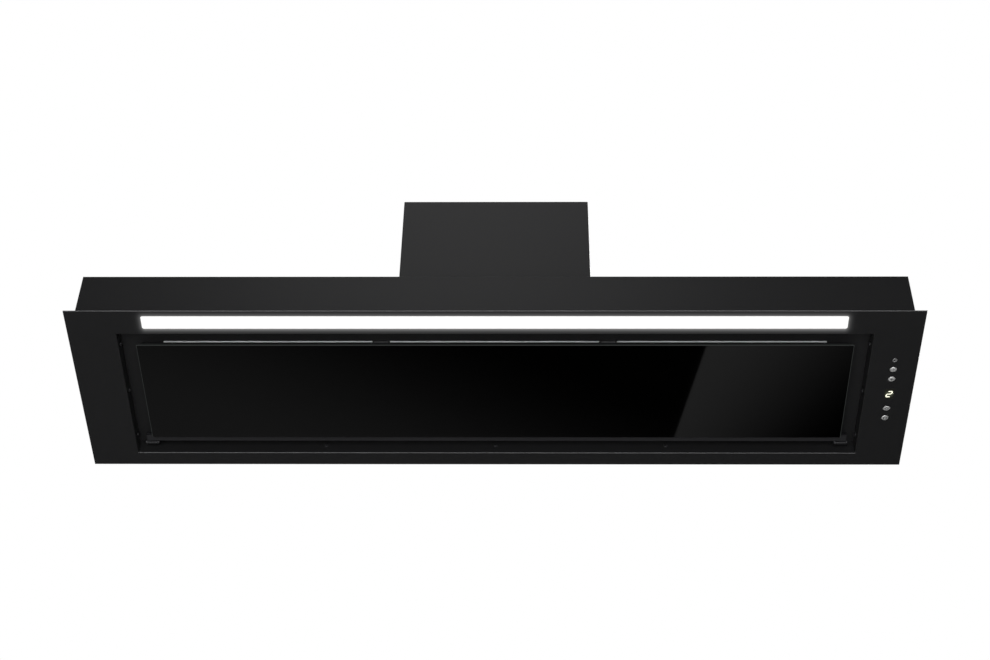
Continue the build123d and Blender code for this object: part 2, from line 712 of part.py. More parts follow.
def hinge_arm(middle):
    """Short strap on the tray's tab that ends in an eye round the hinge pin."""
    left = middle - HINGE_ARM_WIDTH / 2
    right = middle + HINGE_ARM_WIDTH / 2
    arm = block(left, right, pivot_y - HINGE_ARM_LENGTH, pivot_y,
                tray_floor, tray_floor + HINGE_ARM_THICKNESS)
    arm += rod_x(HINGE_EYE_RADIUS, left, right, pivot_y, pivot_z)
    return arm - rod_x(HINGE_PIN_RADIUS + HINGE_PLAY, left - 1, right + 1, pivot_y, pivot_z)


def hinge_bracket(middle):
    """Base under the deck, screwed down beside the two ears that hold the pin."""
    base_under = deck_under - HINGE_BASE_THICKNESS
    inner = HINGE_ARM_WIDTH / 2 + HINGE_SIDE_GAP
    outwards = math.copysign(1, middle)
    low, high = sorted((middle - outwards * HINGE_BASE_REACH,
                        middle + outwards * (inner + HINGE_EAR_THICKNESS)))
    bracket = block(low, high, pivot_y - HINGE_BASE_DEPTH / 2, pivot_y + HINGE_BASE_DEPTH / 2,
                    base_under, deck_under)
    for side in (-1, 1):
        low, high = sorted((middle + side * inner, middle + side * (inner + HINGE_EAR_THICKNESS)))
        ear = block(low, high, pivot_y - HINGE_EAR_RADIUS, pivot_y + HINGE_EAR_RADIUS, pivot_z, base_under)
        ear += rod_x(HINGE_EAR_RADIUS, low, high, pivot_y, pivot_z)
        bracket += ear - rod_x(HINGE_PIN_RADIUS, low - 1, high + 1, pivot_y, pivot_z)
    for origin, direction in hinge_screw_places():
        if origin[0] * middle > 0:
            start = (origin[0], origin[1], base_under - 1)
            bracket -= screw_hole(start, direction, 0, 4 * HINGE_BASE_THICKNESS)
    return bracket


def hinge_pin(middle):
    """Pin with a head at each end, outside the ears."""
    reach = HINGE_ARM_WIDTH / 2 + HINGE_SIDE_GAP + HINGE_EAR_THICKNESS
    pin = rod_x(HINGE_PIN_RADIUS, middle - reach, middle + reach, pivot_y, pivot_z)
    head = HINGE_PIN_HEAD_HEIGHT
    pin += rod_x(HINGE_PIN_HEAD_RADIUS, middle - reach - head, middle - reach, pivot_y, pivot_z)
    return pin + rod_x(HINGE_PIN_HEAD_RADIUS, middle + reach, middle + reach + head, pivot_y, pivot_z)


def catch_places():
    return (-FILTER_PITCH / 2, FILTER_PITCH / 2)


def magnet_bounds(middle):
    """Left, right, front, back, bottom and top of a catch's magnet."""
    front = catch_front + (CATCH_DEPTH - MAGNET_DEPTH) / 2
    half = MAGNET_WIDTH / 2
    return middle - half, middle + half, front, front + MAGNET_DEPTH, catch_face, catch_face + MAGNET_HEIGHT


def catch_housing(middle):
    """Moulded block under the deck, between two filters, with a pocket for its magnet."""
    half = CATCH_WIDTH / 2
    housing = block(middle - half, middle + half, catch_front, catch_front + CATCH_DEPTH,
                    deck_under - CATCH_HEIGHT, deck_under)
    outer_edges = housing.edges().filter_by(Axis.Z) + housing.faces().sort_by(Axis.Z)[0].edges()
    housing = fillet(outer_edges, CATCH_EDGE)
    return housing - block(*magnet_bounds(middle))


def strike_plate(middle):
    """Steel bridge on the tray that meets the catch's magnet."""
    half = STRIKE_WIDTH / 2
    front = catch_front + (CATCH_DEPTH - STRIKE_DEPTH) / 2
    top = catch_face - CATCH_GAP
    bridge = block(middle - half, middle + half, front, front + STRIKE_DEPTH, tray_floor, top)
    return bridge - block(middle - half + STRIKE_SHEET, middle + half - STRIKE_SHEET,
                          front - 1, front + STRIKE_DEPTH + 1, tray_floor - 1, top - STRIKE_SHEET)


def light_diffuser():
    """Opal strip in the window, with a shoulder that rests on the inside of the plate."""
    x = LIGHT_LENGTH / 2
    gap = DIFFUSER_GAP
    face = block(-x + gap, x - gap, light_front + gap, light_back - gap, 0, channel_under)
    face = fillet(face.edges().filter_by(Axis.Z), LIGHT_CORNER - gap)
    shoulder = block(-x - DIFFUSER_SHOULDER, x + DIFFUSER_SHOULDER, channel_front,
                     light_back + DIFFUSER_SHOULDER, PLATE_SHEET, channel_under)
    return face + shoulder


def light_channel():
    """Aluminium channel over the diffuser, open downwards."""
    x = channel_x
    channel = block(-x, x, channel_front, channel_back, channel_under, channel_top)
    return channel - block(-x + CHANNEL_WALL, x - CHANNEL_WALL, channel_front + CHANNEL_WALL,
                           channel_back - CHANNEL_WALL, channel_under - 1, channel_top - CHANNEL_TOP)


def light_board():
    """Strip board under the channel's top with its row of LEDs facing down."""
    top = channel_top - CHANNEL_TOP
    under = top - STRIP_BOARD_THICKNESS
    x = channel_x - CHANNEL_WALL - 2 * LED_LENGTH
    middle = (channel_front + channel_back) / 2
    board = block(-x, x, middle - STRIP_BOARD_WIDTH / 2, middle + STRIP_BOARD_WIDTH / 2, under, top)
    count = int(2 * x / LED_PITCH)
    chips = []
    for index in range(count):
        chip_x = (index - (count - 1) / 2) * LED_PITCH
        chips.append(block(chip_x - LED_LENGTH / 2, chip_x + LED_LENGTH / 2, middle - LED_WIDTH / 2,
                           middle + LED_WIDTH / 2, under - LED_HEIGHT, under))
    return board + chips


def light_clip(middle):
    """Angle from the deck's front flange that holds the channel down."""
    wall = recess_front - PLATE_SHEET - DECK_SHEET
    half = CLIP_WIDTH / 2
    clip = block(middle - half, middle + half, wall - CLIP_SHEET, wall,
                 channel_top - CLIP_DROP, channel_top + CLIP_SHEET)
    return clip + block(middle - half, middle + half, wall - CLIP_REACH, wall,
                        channel_top, channel_top + CLIP_SHEET)


def driver_screw_places():
    """Head seats of the screws that hold the light's driver up to the body's top."""
    seat = body_top - BODY_SHEET - DRIVER_FLANGE_THICKNESS
    reach = DRIVER_LENGTH / 2 + DRIVER_FLANGE / 2
    return [((DRIVER_X + side * reach, 0, seat), (0, 0, 1)) for side in (-1, 1)]


def light_driver():
    """Sealed power supply of the light strip, hung under the body's top."""
    top = body_top - BODY_SHEET
    half = DRIVER_LENGTH / 2
    width = DRIVER_WIDTH / 2
    driver = block(DRIVER_X - half, DRIVER_X + half, -width, width, top - DRIVER_HEIGHT, top)
    driver = fillet(driver.faces().sort_by(Axis.Z)[0].edges(), DRIVER_EDGE)
    reach = half + DRIVER_FLANGE
    driver += block(DRIVER_X - reach, DRIVER_X + reach, -width / 2, width / 2,
                    top - DRIVER_FLANGE_THICKNESS, top)
    for origin, direction in driver_screw_places():
        driver -= screw_hole(origin, direction, 0, 2 * DRIVER_FLANGE_THICKNESS)
    return driver


def push_button(y):
    """Metal cap flush with the plate, a flange behind it and a stem towards its switch."""
    cap = rod_z(BUTTON_RADIUS, CONTROL_X, y, 0, BUTTON_CAP_HEIGHT)
    cap = fillet(cap.edges().sort_by(Axis.Z)[0], BUTTON_EDGE)
    flange_top = BUTTON_CAP_HEIGHT + BUTTON_FLANGE_HEIGHT
    cap += rod_z(BUTTON_FLANGE_RADIUS, CONTROL_X, y, BUTTON_CAP_HEIGHT, flange_top)
    return cap + rod_z(BUTTON_STEM_RADIUS, CONTROL_X, y, flange_top, stem_top)


def display_lens():
    x = DISPLAY_WIDTH / 2
    y = DISPLAY_LENGTH / 2
    lens = block(CONTROL_X - x, CONTROL_X + x, CONTROL_MIDDLE_Y - y, CONTROL_MIDDLE_Y + y, 0, PLATE_SHEET)
    rim_x = x + LENS_SHOULDER
    rim_y = y + LENS_SHOULDER
    return lens + block(CONTROL_X - rim_x, CONTROL_X + rim_x, CONTROL_MIDDLE_Y - rim_y,
                        CONTROL_MIDDLE_Y + rim_y, PLATE_SHEET, PLATE_SHEET + LENS_SHOULDER)


def sensor_lens():
    lens = rod_z(SENSOR_RADIUS, CONTROL_X, sensor_y, 0, PLATE_SHEET)
    rim = SENSOR_RADIUS + LENS_SHOULDER
    return lens + rod_z(rim, CONTROL_X, sensor_y, PLATE_SHEET, PLATE_SHEET + LENS_SHOULDER)


def module_bounds():
    """Display module between the lens and the circuit board."""
    x = DISPLAY_WIDTH / 2 - LENS_FIT
    y = DISPLAY_LENGTH / 2 - LENS_FIT
    under = BOARD_HEIGHT - DISPLAY_MODULE_HEIGHT
    return CONTROL_X - x, CONTROL_X + x, CONTROL_MIDDLE_Y - y, CONTROL_MIDDLE_Y + y, under, BOARD_HEIGHT


def board_post_places():
    inset = HOUSING_WALL + BOARD_POST_INSET
    return [(x, y) for x in (housing_left + inset, housing_right - inset)
            for y in (housing_front + inset, housing_back - inset)]


def control_housing():
    """Moulded box on the plate's inside: a floor with button guides, posts for the board."""
    wall = HOUSING_WALL
    housing = block(housing_left, housing_right, housing_front, housing_back, PLATE_SHEET, housing_top)
    left = housing_left + wall
    right = housing_right - wall
    front = housing_front + wall
    back = housing_back - wall
    housing -= block(left, right, front, back, PLATE_SHEET - 1, HOUSING_FLOOR)
    housing -= block(left, right, front, back, housing_floor_top, housing_top + 1)
    for x, y in board_post_places():
        housing += rod_z(BOARD_POST_RADIUS, x, y, housing_floor_top, BOARD_HEIGHT)
    for y in button_places.values():
        guide = BUTTON_STEM_RADIUS + BUTTON_STEM_GAP
        housing -= rod_z(guide, CONTROL_X, y, HOUSING_FLOOR - 1, housing_floor_top + 1)
    x0, x1, y0, y1, z0, z1 = module_bounds()
    gap = LENS_FIT
    housing -= block(x0 - gap, x1 + gap, y0 - gap, y1 + gap, HOUSING_FLOOR - 1, housing_floor_top + 1)
    return housing


def control_cover():
    """Lid of the control housing, with a lip inside its walls and a hole for the lead."""
    cover = block(housing_left, housing_right, housing_front, housing_back,
                  housing_top, housing_top + COVER_THICKNESS)
    inset = HOUSING_WALL + COVER_FIT
    lip = block(housing_left + inset, housing_right - inset, housing_front + inset,
                housing_back - inset, housing_top - COVER_LIP_HEIGHT, housing_top)
    inset += COVER_LIP
    lip -= block(housing_left + inset, housing_right - inset, housing_front + inset,
                 housing_back - inset, housing_top - COVER_LIP_HEIGHT - 1, housing_top)
    hole = rod_z(LEAD_RADIUS, CONTROL_X, CONTROL_LEAD_Y, housing_top - 1, housing_top + COVER_THICKNESS + 1)
    return cover + lip - hole


def control_board():
    """Circuit board with one switch over each button's stem."""
    inset = HOUSING_WALL + BOARD_GAP
    board = block(housing_left + inset, housing_right - inset, housing_front + inset,
                  housing_back - inset, BOARD_HEIGHT, BOARD_HEIGHT + BOARD_THICKNESS)
    half = SWITCH_SIZE / 2
    for y in button_places.values():
        board += block(CONTROL_X - half, CONTROL_X + half, y - half, y + half,
                       BOARD_HEIGHT - SWITCH_HEIGHT, BOARD_HEIGHT)
    return board


def lid_screw_places():
    """Screws through the tower's sides and back into the lid's flanges."""
    z = tower_top - LID_SCREW_DROP
    places = []
    for step in (-0.5, 0.5):
        shift = step * LID_SCREW_PITCH
        places.append(((-tower_x, shift, z), (1, 0, 0)))
        places.append(((tower_x, shift, z), (-1, 0, 0)))
        places.append(((shift, tower_y, z), (0, -1, 0)))
    return places


def collar_screw_places():
    seat = tower_top + COLLAR_FLANGE_THICKNESS
    places = []
    for quarter in range(4):
        angle = math.radians(45 + 90 * quarter)
        x = COLLAR_SCREW_RADIUS * math.cos(angle)
        y = COLLAR_SCREW_RADIUS * math.sin(angle)
        places.append(((x, y, seat), (0, 0, -1)))
    return places


def motor_tower():
    """Folded box with feet turned in at its bottom and an open top."""
    tower = block(-tower_x, tower_x, -tower_y, tower_y, body_top, tower_top)
    tower = fillet(tower.edges().filter_by(Axis.Z), BODY_BEND_RADIUS)
    inner_x = tower_x - TOWER_SHEET
    inner_y = tower_y - TOWER_SHEET
    tower -= block(-inner_x, inner_x, -inner_y, inner_y, body_top + TOWER_SHEET, tower_top + 1)
    foot_x_inner = inner_x - TOWER_FOOT
    foot_y_inner = inner_y - TOWER_FOOT
    tower -= block(-foot_x_inner, foot_x_inner, -foot_y_inner, foot_y_inner,
                   body_top - 1, body_top + TOWER_SHEET + 1)
    for origin, direction in tower_foot_places() + lid_screw_places():
        tower -= screw_hole(origin, direction, 0, 2 * TOWER_SHEET)
    return tower


def tower_lid():
    """Lid inside the tower's top, with flanges turned down and holes for outlet and gland."""
    x = tower_x - TOWER_SHEET
    y = tower_y - TOWER_SHEET
    lid = block(-x, x, -y, y, lid_under - LID_FLANGE, tower_top)
    lid -= block(-x + TOWER_SHEET, x - TOWER_SHEET, -y + TOWER_SHEET, y - TOWER_SHEET,
                 lid_under - LID_FLANGE - 1, lid_under)
    lid -= rod_z(ADAPTER_HOLE_RADIUS, 0, 0, lid_under - 1, tower_top + 1)
    lid -= rod_z(GLAND_THREAD_RADIUS, GLAND_X, 0, lid_under - 1, tower_top + 1)
    for origin, direction in lid_screw_places() + collar_screw_places():
        lid -= screw_hole(origin, direction, 0, 2 * SCREW_LENGTH)
    return lid


def duct_collar():
    """Moulded collar with a screwed flange and a ledge that the damper flaps rest on."""
    bore = COLLAR_RADIUS - COLLAR_WALL
    collar = rod_z(COLLAR_RADIUS, 0, 0, tower_top, collar_top)
    collar += rod_z(COLLAR_FLANGE_RADIUS, 0, 0, tower_top, tower_top + COLLAR_FLANGE_THICKNESS)
    collar -= rod_z(bore, 0, 0, tower_top - 1, collar_top + 1)
    ledge_top = damper_z - DAMPER_THICKNESS / 2
    ledge = rod_z(bore, 0, 0, ledge_top - STOP_THICKNESS, ledge_top)
    ledge -= rod_z(bore - STOP_REACH, 0, 0, ledge_top - STOP_THICKNESS - 1, ledge_top + 1)
    ledge -= block(-bore - 1, bore + 1, -STOP_NOTCH, STOP_NOTCH,
                   ledge_top - STOP_THICKNESS - 1, ledge_top + 1)
    collar += ledge
    collar -= rod_x(DAMPER_PIN_RADIUS, -COLLAR_RADIUS - 1, COLLAR_RADIUS + 1, 0, damper_z)
    for origin, direction in collar_screw_places():
        collar -= screw_hole(origin, direction, 0, 2 * COLLAR_FLANGE_THICKNESS)
    return collar


def damper_flap(side):
    """Half disc beside the pin, with two knuckles round it that leave room for the other flap's."""
    radius = COLLAR_RADIUS - COLLAR_WALL - DAMPER_EDGE_GAP
    half = DAMPER_THICKNESS / 2
    disc = rod_z(radius, 0, 0, damper_z - half, damper_z + half)
    near, far = sorted((side * DAMPER_MIDDLE_GAP, side * (radius + 1)))
    flap = disc & block(-radius, radius, near, far, damper_z - 1, damper_z + 1)
    first = -DAMPER_KNUCKLE_LENGTH if side > 0 else -2 * DAMPER_KNUCKLE_LENGTH
    low, high = sorted((0, side * (DAMPER_MIDDLE_GAP + 1)))
    for start in (first, first + 2 * DAMPER_KNUCKLE_LENGTH):
        x0 = start + DAMPER_KNUCKLE_GAP
        x1 = start + DAMPER_KNUCKLE_LENGTH - DAMPER_KNUCKLE_GAP
        flap += block(x0, x1, low, high, damper_z - half, damper_z + half)
        flap += rod_x(DAMPER_KNUCKLE_RADIUS, x0, x1, 0, damper_z)
    return flap - rod_x(DAMPER_PIN_RADIUS + DAMPER_PLAY, -radius, radius, 0, damper_z)


def damper_pin():
    return rod_x(DAMPER_PIN_RADIUS, -COLLAR_RADIUS, COLLAR_RADIUS, 0, damper_z)


def mains_gland():
    """Cable gland through the lid: hexagon, dome and thread round one bore, and its nut."""
    hexagon = Pos(GLAND_X, 0, tower_top) * extrude(RegularPolygon(GLAND_HEX_RADIUS, 6), GLAND_HEX_HEIGHT)
    dome_start = tower_top + GLAND_HEX_HEIGHT
    dome = rod_z(GLAND_DOME_RADIUS, GLAND_X, 0, dome_start, dome_start + GLAND_DOME_HEIGHT)
    dome = fillet(dome.edges().sort_by(Axis.Z)[-1], GLAND_DOME_EDGE)
    thread_end = tower_top - GLAND_THREAD_LENGTH
    thread = rod_z(GLAND_THREAD_RADIUS, GLAND_X, 0, thread_end, tower_top)
    bore = rod_z(GLAND_BORE_RADIUS, GLAND_X, 0, thread_end - 1, dome_start + GLAND_DOME_HEIGHT + 1)
    nut = Pos(GLAND_X, 0, lid_under - GLAND_NUT_HEIGHT)
    nut = nut * extrude(RegularPolygon(GLAND_HEX_RADIUS, 6), GLAND_NUT_HEIGHT)
    nut -= rod_z(GLAND_THREAD_RADIUS, GLAND_X, 0, thread_end - 1, lid_under + 1)
    return group((hexagon + dome + thread - bore, nut))


def on_blower_axis(shape):
    """Turns a shape drawn round +Z onto the blower's axis, where its +Z points to the front."""
    return Pos(BLOWER_X, 0, BLOWER_Z) * Rot(90, 0, 0) * shape


def scroll_face(wall, rise):
    """Outline of the scroll and its outlet, grown outwards by a wall."""
    right = SCROLL_STEP + SCROLL_RADIUS + 2 * SCROLL_STEP + wall
    tongue = math.radians(SCROLL_TONGUE_ANGLE)
    inner_x = SCROLL_RADIUS * math.cos(tongue) - wall
    radius = SCROLL_RADIUS + wall
    start = math.degrees(math.acos(inner_x / radius))
    step = SCROLL_STEP
    first = CenterArc((0, 0), radius, start, 180 - start)
    second = CenterArc((step, 0), radius + step, 180, 90)
    third = CenterArc((step, step), radius + 2 * step, 270, 90)
    sides = Polyline(third @ 1, (right, rise), (inner_x, rise), first @ 0)
    return make_face([first, second, third] + sides.edges())


def outlet_sides():
    """Left and right inner sides of the scroll's outlet."""
    left = BLOWER_X + SCROLL_RADIUS * math.cos(math.radians(SCROLL_TONGUE_ANGLE))
    right = BLOWER_X + SCROLL_RADIUS + 3 * SCROLL_STEP
    return left, right


def scroll_half(side):
    """One half of the blower's scroll, split on the impeller's middle plane. Side +1 is the front."""
    half = SCROLL_WIDTH / 2
    solid = extrude(scroll_face(SCROLL_WALL, OUTLET_RISE), SCROLL_WIDTH)
    hollow = extrude(scroll_face(0, OUTLET_RISE + 1), SCROLL_WIDTH - 2 * SCROLL_WALL)
    filled = Pos(0, 0, -half) * solid
    shell = filled - Pos(0, 0, -half + SCROLL_WALL) * hollow
    lip_radius = INLET_RADIUS + INLET_LIP_WALL
    shell += Cylinder(lip_radius, SCROLL_WIDTH + 2 * INLET_LIP) - Cylinder(lip_radius, SCROLL_WIDTH)
    shell -= Cylinder(INLET_RADIUS, SCROLL_WIDTH + 4 * INLET_LIP)
    foot = SCROLL_FOOT_LENGTH / 2
    base = foot_under - BLOWER_Z
    near = (RAIL_SPREAD - SCROLL_FOOT_WIDTH) / 2
    far = (RAIL_SPREAD + SCROLL_FOOT_WIDTH) / 2
    for low, high in ((near, far), (-far, -near)):
        pad = block(SCROLL_STEP - foot, SCROLL_STEP + foot, base, base + SCROLL_FOOT_HEIGHT, low, high)
        shell += pad - filled
    low, high = sorted((0, side * SCROLL_WIDTH))
    keep = block(-SCROLL_WIDTH, SCROLL_WIDTH, -SCROLL_WIDTH, SCROLL_WIDTH, low, high)
    scroll = on_blower_axis(shell & keep)
    for x, y in rail_screw_places():
        scroll -= rod_z(SCREW_SHANK_RADIUS, x, y, foot_under - 1, rail_under + RAIL_SCREW_LENGTH)
    return scroll


def outlet_adapter():
    """Tapered duct from the scroll's outlet to the round hole in the lid."""
    left, right = outlet_sides()
    half = SCROLL_WIDTH / 2 - SCROLL_WALL
    top = lid_under - ADAPTER_TOP_THICKNESS
    middle = (left + right) / 2
    wall = ADAPTER_WALL
    outer = loft([Pos(middle, 0, outlet_top) * Rectangle(right - left + 2 * wall, 2 * (half + wall)),
                  Pos(0, 0, top) * Rectangle(ADAPTER_TOP + 2 * wall, ADAPTER_TOP + 2 * wall)])
    inner = loft([Pos(middle, 0, outlet_top) * Rectangle(right - left, 2 * half),
                  Pos(0, 0, top) * Rectangle(ADAPTER_TOP, ADAPTER_TOP)])
    edge = ADAPTER_TOP / 2 + 2 * wall
    plate = block(-edge, edge, -edge, edge, top, lid_under)
    adapter = outer - inner + (plate - rod_z(ADAPTER_HOLE_RADIUS, 0, 0, top - 1, lid_under + 1))
    for origin, direction in collar_screw_places():
        adapter -= screw_hole(origin, direction, 0, 2 * SCREW_LENGTH)
    return adapter


def impeller():
    """Two wheels of forward-curved blades, one on each side of a middle disc with its hub."""
    disc = Cylinder(IMPELLER_OUTER_RADIUS, IMPELLER_DISC)
    hub = Pos(0, 0, HUB_LENGTH / 2) * Cylinder(HUB_RADIUS, HUB_LENGTH)
    outer = CenterArc((BLADE_ARC_X, BLADE_ARC_Y), BLADE_ARC_RADIUS + BLADE_THICKNESS,
                      BLADE_ARC_START, BLADE_ARC_SIZE)
    inner = CenterArc((BLADE_ARC_X, BLADE_ARC_Y), BLADE_ARC_RADIUS, BLADE_ARC_START, BLADE_ARC_SIZE)
    ends = [Line(inner @ 0, outer @ 0), Line(inner @ 1, outer @ 1)]
    width = 2 * IMPELLER_HALF_WIDTH
    blade = Pos(0, 0, -IMPELLER_HALF_WIDTH) * extrude(make_face([outer, inner] + ends), width)
    blades = [Rot(0, 0, 360 / BLADE_COUNT * index) * blade for index in range(BLADE_COUNT)]
    ring = Cylinder(IMPELLER_OUTER_RADIUS, IMPELLER_RING) - Cylinder(IMPELLER_INNER_RADIUS, IMPELLER_RING)
    shift = IMPELLER_HALF_WIDTH - IMPELLER_RING / 2
    rings = [Pos(0, 0, shift) * ring, Pos(0, 0, -shift) * ring]
    wheel = disc + hub + blades + rings
    return on_blower_axis(wheel - Cylinder(SHAFT_RADIUS, 4 * HUB_LENGTH))


def motor_shaft():
    shaft = Pos(0, 0, (SHAFT_FRONT - SHAFT_BACK) / 2) * Cylinder(SHAFT_RADIUS, SHAFT_FRONT + SHAFT_BACK)
    return on_blower_axis(shaft)


def spider_screw_places():
    """Angles of the three arms of the motor bracket."""
    return [90 + 120 * index for index in range(3)]


def motor_body():
    """Round motor inside the rear wheel, bored for its shaft."""
    length = MOTOR_END - MOTOR_START
    body = Pos(0, 0, -(MOTOR_START + MOTOR_END) / 2) * Cylinder(MOTOR_RADIUS, length)
    body = fillet(body.edges().filter_by(GeomType.CIRCLE), MOTOR_EDGE)
    body -= Cylinder(SHAFT_RADIUS + MOTOR_BORE_PLAY, 4 * MOTOR_END)
    for angle in spider_screw_places():
        turned = Rot(0, 0, angle) * Pos(SPIDER_SCREW_RADIUS, 0, -MOTOR_END)
        body -= turned * Cylinder(SCREW_SHANK_RADIUS, 2 * SCREW_LENGTH)
    return on_blower_axis(body)


def motor_bracket():
    """Three-armed bracket from the motor's back to the scroll's rear side."""
    plate = Pos(0, 0, -MOTOR_END - SPIDER_THICKNESS / 2)
    bracket = plate * Cylinder(SPIDER_HUB_RADIUS, SPIDER_THICKNESS)
    seat = SCROLL_WIDTH / 2 + BUSH_THICKNESS
    for angle in spider_screw_places():
        arm = block(SPIDER_HOLE_RADIUS, SPIDER_REACH, -SPIDER_ARM_WIDTH / 2, SPIDER_ARM_WIDTH / 2,
                    -MOTOR_END - SPIDER_THICKNESS, -MOTOR_END)
        arm += block(SPIDER_REACH - SPIDER_LEG, SPIDER_REACH, -SPIDER_ARM_WIDTH / 2,
                     SPIDER_ARM_WIDTH / 2, -MOTOR_END, -seat)
        bracket += Rot(0, 0, angle) * arm
        hole = Pos(SPIDER_SCREW_RADIUS, 0, -MOTOR_END) * Cylinder(SCREW_SHANK_RADIUS, 4 * SPIDER_THICKNESS)
        bracket -= Rot(0, 0, angle) * hole
    return on_blower_axis(bracket - Cylinder(SPIDER_HOLE_RADIUS, 4 * MOTOR_END))


def rubber_bushes():
    """Bushes under the bracket's three feet and under the scroll's four."""
    bushes = []
    seat = SCROLL_WIDTH / 2 + BUSH_THICKNESS / 2
    for angle in spider_screw_places():
        bush = Pos(SPIDER_REACH - SPIDER_LEG / 2, 0, -seat) * Cylinder(BUSH_RADIUS, BUSH_THICKNESS)
        bushes.append(on_blower_axis(Rot(0, 0, angle) * bush))
    for x, y in rail_screw_places():
        bush = rod_z(RAIL_BUSH_RADIUS, x, y, rail_top, foot_under)
        bushes.append(bush - rod_z(SCREW_SHANK_RADIUS, x, y, rail_top - 1, foot_under + 1))
    return group(bushes)


def rail_screw_places():
    return [(foot_x + side * RAIL_SCREW_PITCH / 2, row * RAIL_SPREAD / 2)
            for side in (-1, 1) for row in (-1, 1)]


def blower_rails():
    """Two rails across the tower's bottom, fixed to its ends by upturned tabs."""
    rails = []
    x = tower_x - TOWER_SHEET
    for row in (-1, 1):
        y = row * RAIL_SPREAD / 2
        rail = block(-x, x, y - RAIL_WIDTH / 2, y + RAIL_WIDTH / 2, rail_under, rail_top)
        for side in (-1, 1):
            low, high = sorted((side * x, side * (x - RAIL_TAB_THICKNESS)))
            rail += block(low, high, y - RAIL_WIDTH / 2, y + RAIL_WIDTH / 2,
                          rail_under, rail_under + RAIL_TAB_HEIGHT)
        for hole_x, hole_y in rail_screw_places():
            if hole_y == y:
                rail -= rod_z(SCREW_SHANK_RADIUS, hole_x, y, rail_under - 1, rail_top + 1)
        rails.append(rail)
    return group(rails)


def blower_screws():
    """Screws up through the rails into the scroll's feet, and through the bracket into the motor."""
    screws = []
    for x, y in rail_screw_places():
        screws.append(placed(pan_screw(RAIL_SCREW_LENGTH), (x, y, rail_under), (0, 0, 1)))
    for angle in spider_screw_places():
        seat = Rot(0, 0, angle) * Pos(SPIDER_SCREW_RADIUS, 0, -MOTOR_END - SPIDER_THICKNESS)
        screws.append(on_blower_axis(seat * pan_screw(SCREW_LENGTH)))
    return screws


def terminal_box():
    """Box on the tower's right wall, open to the left, with a hole for each lead."""
    right = tower_x - TOWER_SHEET
    half = BOX_WIDTH / 2
    wall = BOX_WALL
    box = block(box_inner_x, right, -half, half, BOX_BOTTOM, box_top)
    box = fillet(box.edges().filter_by(Axis.X), BOX_EDGE)
    box -= block(box_inner_x - 1, right - wall, -half + wall, half - wall, BOX_BOTTOM + wall, box_top - wall)
    box -= rod_z(LEAD_RADIUS, control_lead_x(), CONTROL_LEAD_Y, BOX_BOTTOM - 1, BOX_BOTTOM + wall + 1)
    box -= rod_z(LEAD_RADIUS, control_lead_x(), DRIVER_LEAD_Y, BOX_BOTTOM - 1, BOX_BOTTOM + wall + 1)
    box -= rod_z(GLAND_BORE_RADIUS, GLAND_X, 0, box_top - wall - 1, box_top + 1)
    back = Pos(control_lead_x(), half, motor_lead_z()) * Rot(90, 0, 0) * Cylinder(LEAD_RADIUS, 4 * wall)
    return box - back


def terminal_lid():
    half = BOX_WIDTH / 2
    lid = block(box_inner_x - BOX_LID, box_inner_x, -half, half, BOX_BOTTOM, box_top)
    return fillet(lid.edges().filter_by(Axis.X), BOX_EDGE)


def capacitor():
    """Run capacitor that stands in the terminal box."""
    x = tower_x - TOWER_SHEET - BOX_WALL - CAPACITOR_RADIUS
    floor = BOX_BOTTOM + BOX_WALL
    can = rod_z(CAPACITOR_RADIUS, x, CAPACITOR_Y, floor, floor + CAPACITOR_LENGTH)
    return fillet(can.edges().sort_by(Axis.Z)[-1], CAPACITOR_EDGE)


def control_lead_x():
    """Where the leads go up through the throat into the terminal box."""
    return tower_x - TOWER_SHEET - BOX_LEAD_INSET


def motor_lead_z():
    return BLOWER_Z + MOTOR_LEAD_RADIUS * math.sin(math.radians(MOTOR_LEAD_ANGLE))


def lead(points, radii):
    """A round lead along straight runs joined by arcs."""
    path = FilletPolyline(*points, radius=radii)
    start = Plane(origin=path @ 0, z_dir=path % 0)
    return sweep(start * Circle(LEAD_RADIUS), path=path)


def wiring_leads():
    """Leads from the controls, the driver and the motor to the terminal box, and to the light."""
    up_x = control_lead_x()
    cover_top = housing_top
    height = LEAD_HEIGHT
    bend = LEAD_BEND
    control = lead([(CONTROL_X, CONTROL_LEAD_Y, cover_top), (CONTROL_X, CONTROL_LEAD_Y, height),
                    (up_x, CONTROL_LEAD_Y, height), (up_x, CONTROL_LEAD_Y, BOX_BOTTOM)], (bend, bend))
    right = DRIVER_X + DRIVER_LENGTH / 2
    driver = lead([(right, DRIVER_LEAD_Y, height), (up_x, DRIVER_LEAD_Y, height),
                   (up_x, DRIVER_LEAD_Y, BOX_BOTTOM)], (bend,))
    left = DRIVER_X - DRIVER_LENGTH / 2
    low = LIGHT_LEAD_HEIGHT
    light = lead([(left, DRIVER_LEAD_Y, height), (light_lead_x, DRIVER_LEAD_Y, height),
                  (light_lead_x, LIGHT_LEAD_Y, height), (light_lead_x, LIGHT_LEAD_Y, low),
                  (-channel_x, LIGHT_LEAD_Y, low)], (bend, bend, LEAD_END_BEND))
    motor_x = BLOWER_X + MOTOR_LEAD_RADIUS * math.cos(math.radians(MOTOR_LEAD_ANGLE))
    z = motor_lead_z()
    motor = lead([(motor_x, MOTOR_END, z), (motor_x, MOTOR_LEAD_Y, z), (up_x, MOTOR_LEAD_Y, z),
                  (up_x, BOX_WIDTH / 2 - BOX_WALL, z)], (LEAD_END_BEND, LEAD_END_BEND))
    return group((control, driver, light, motor))


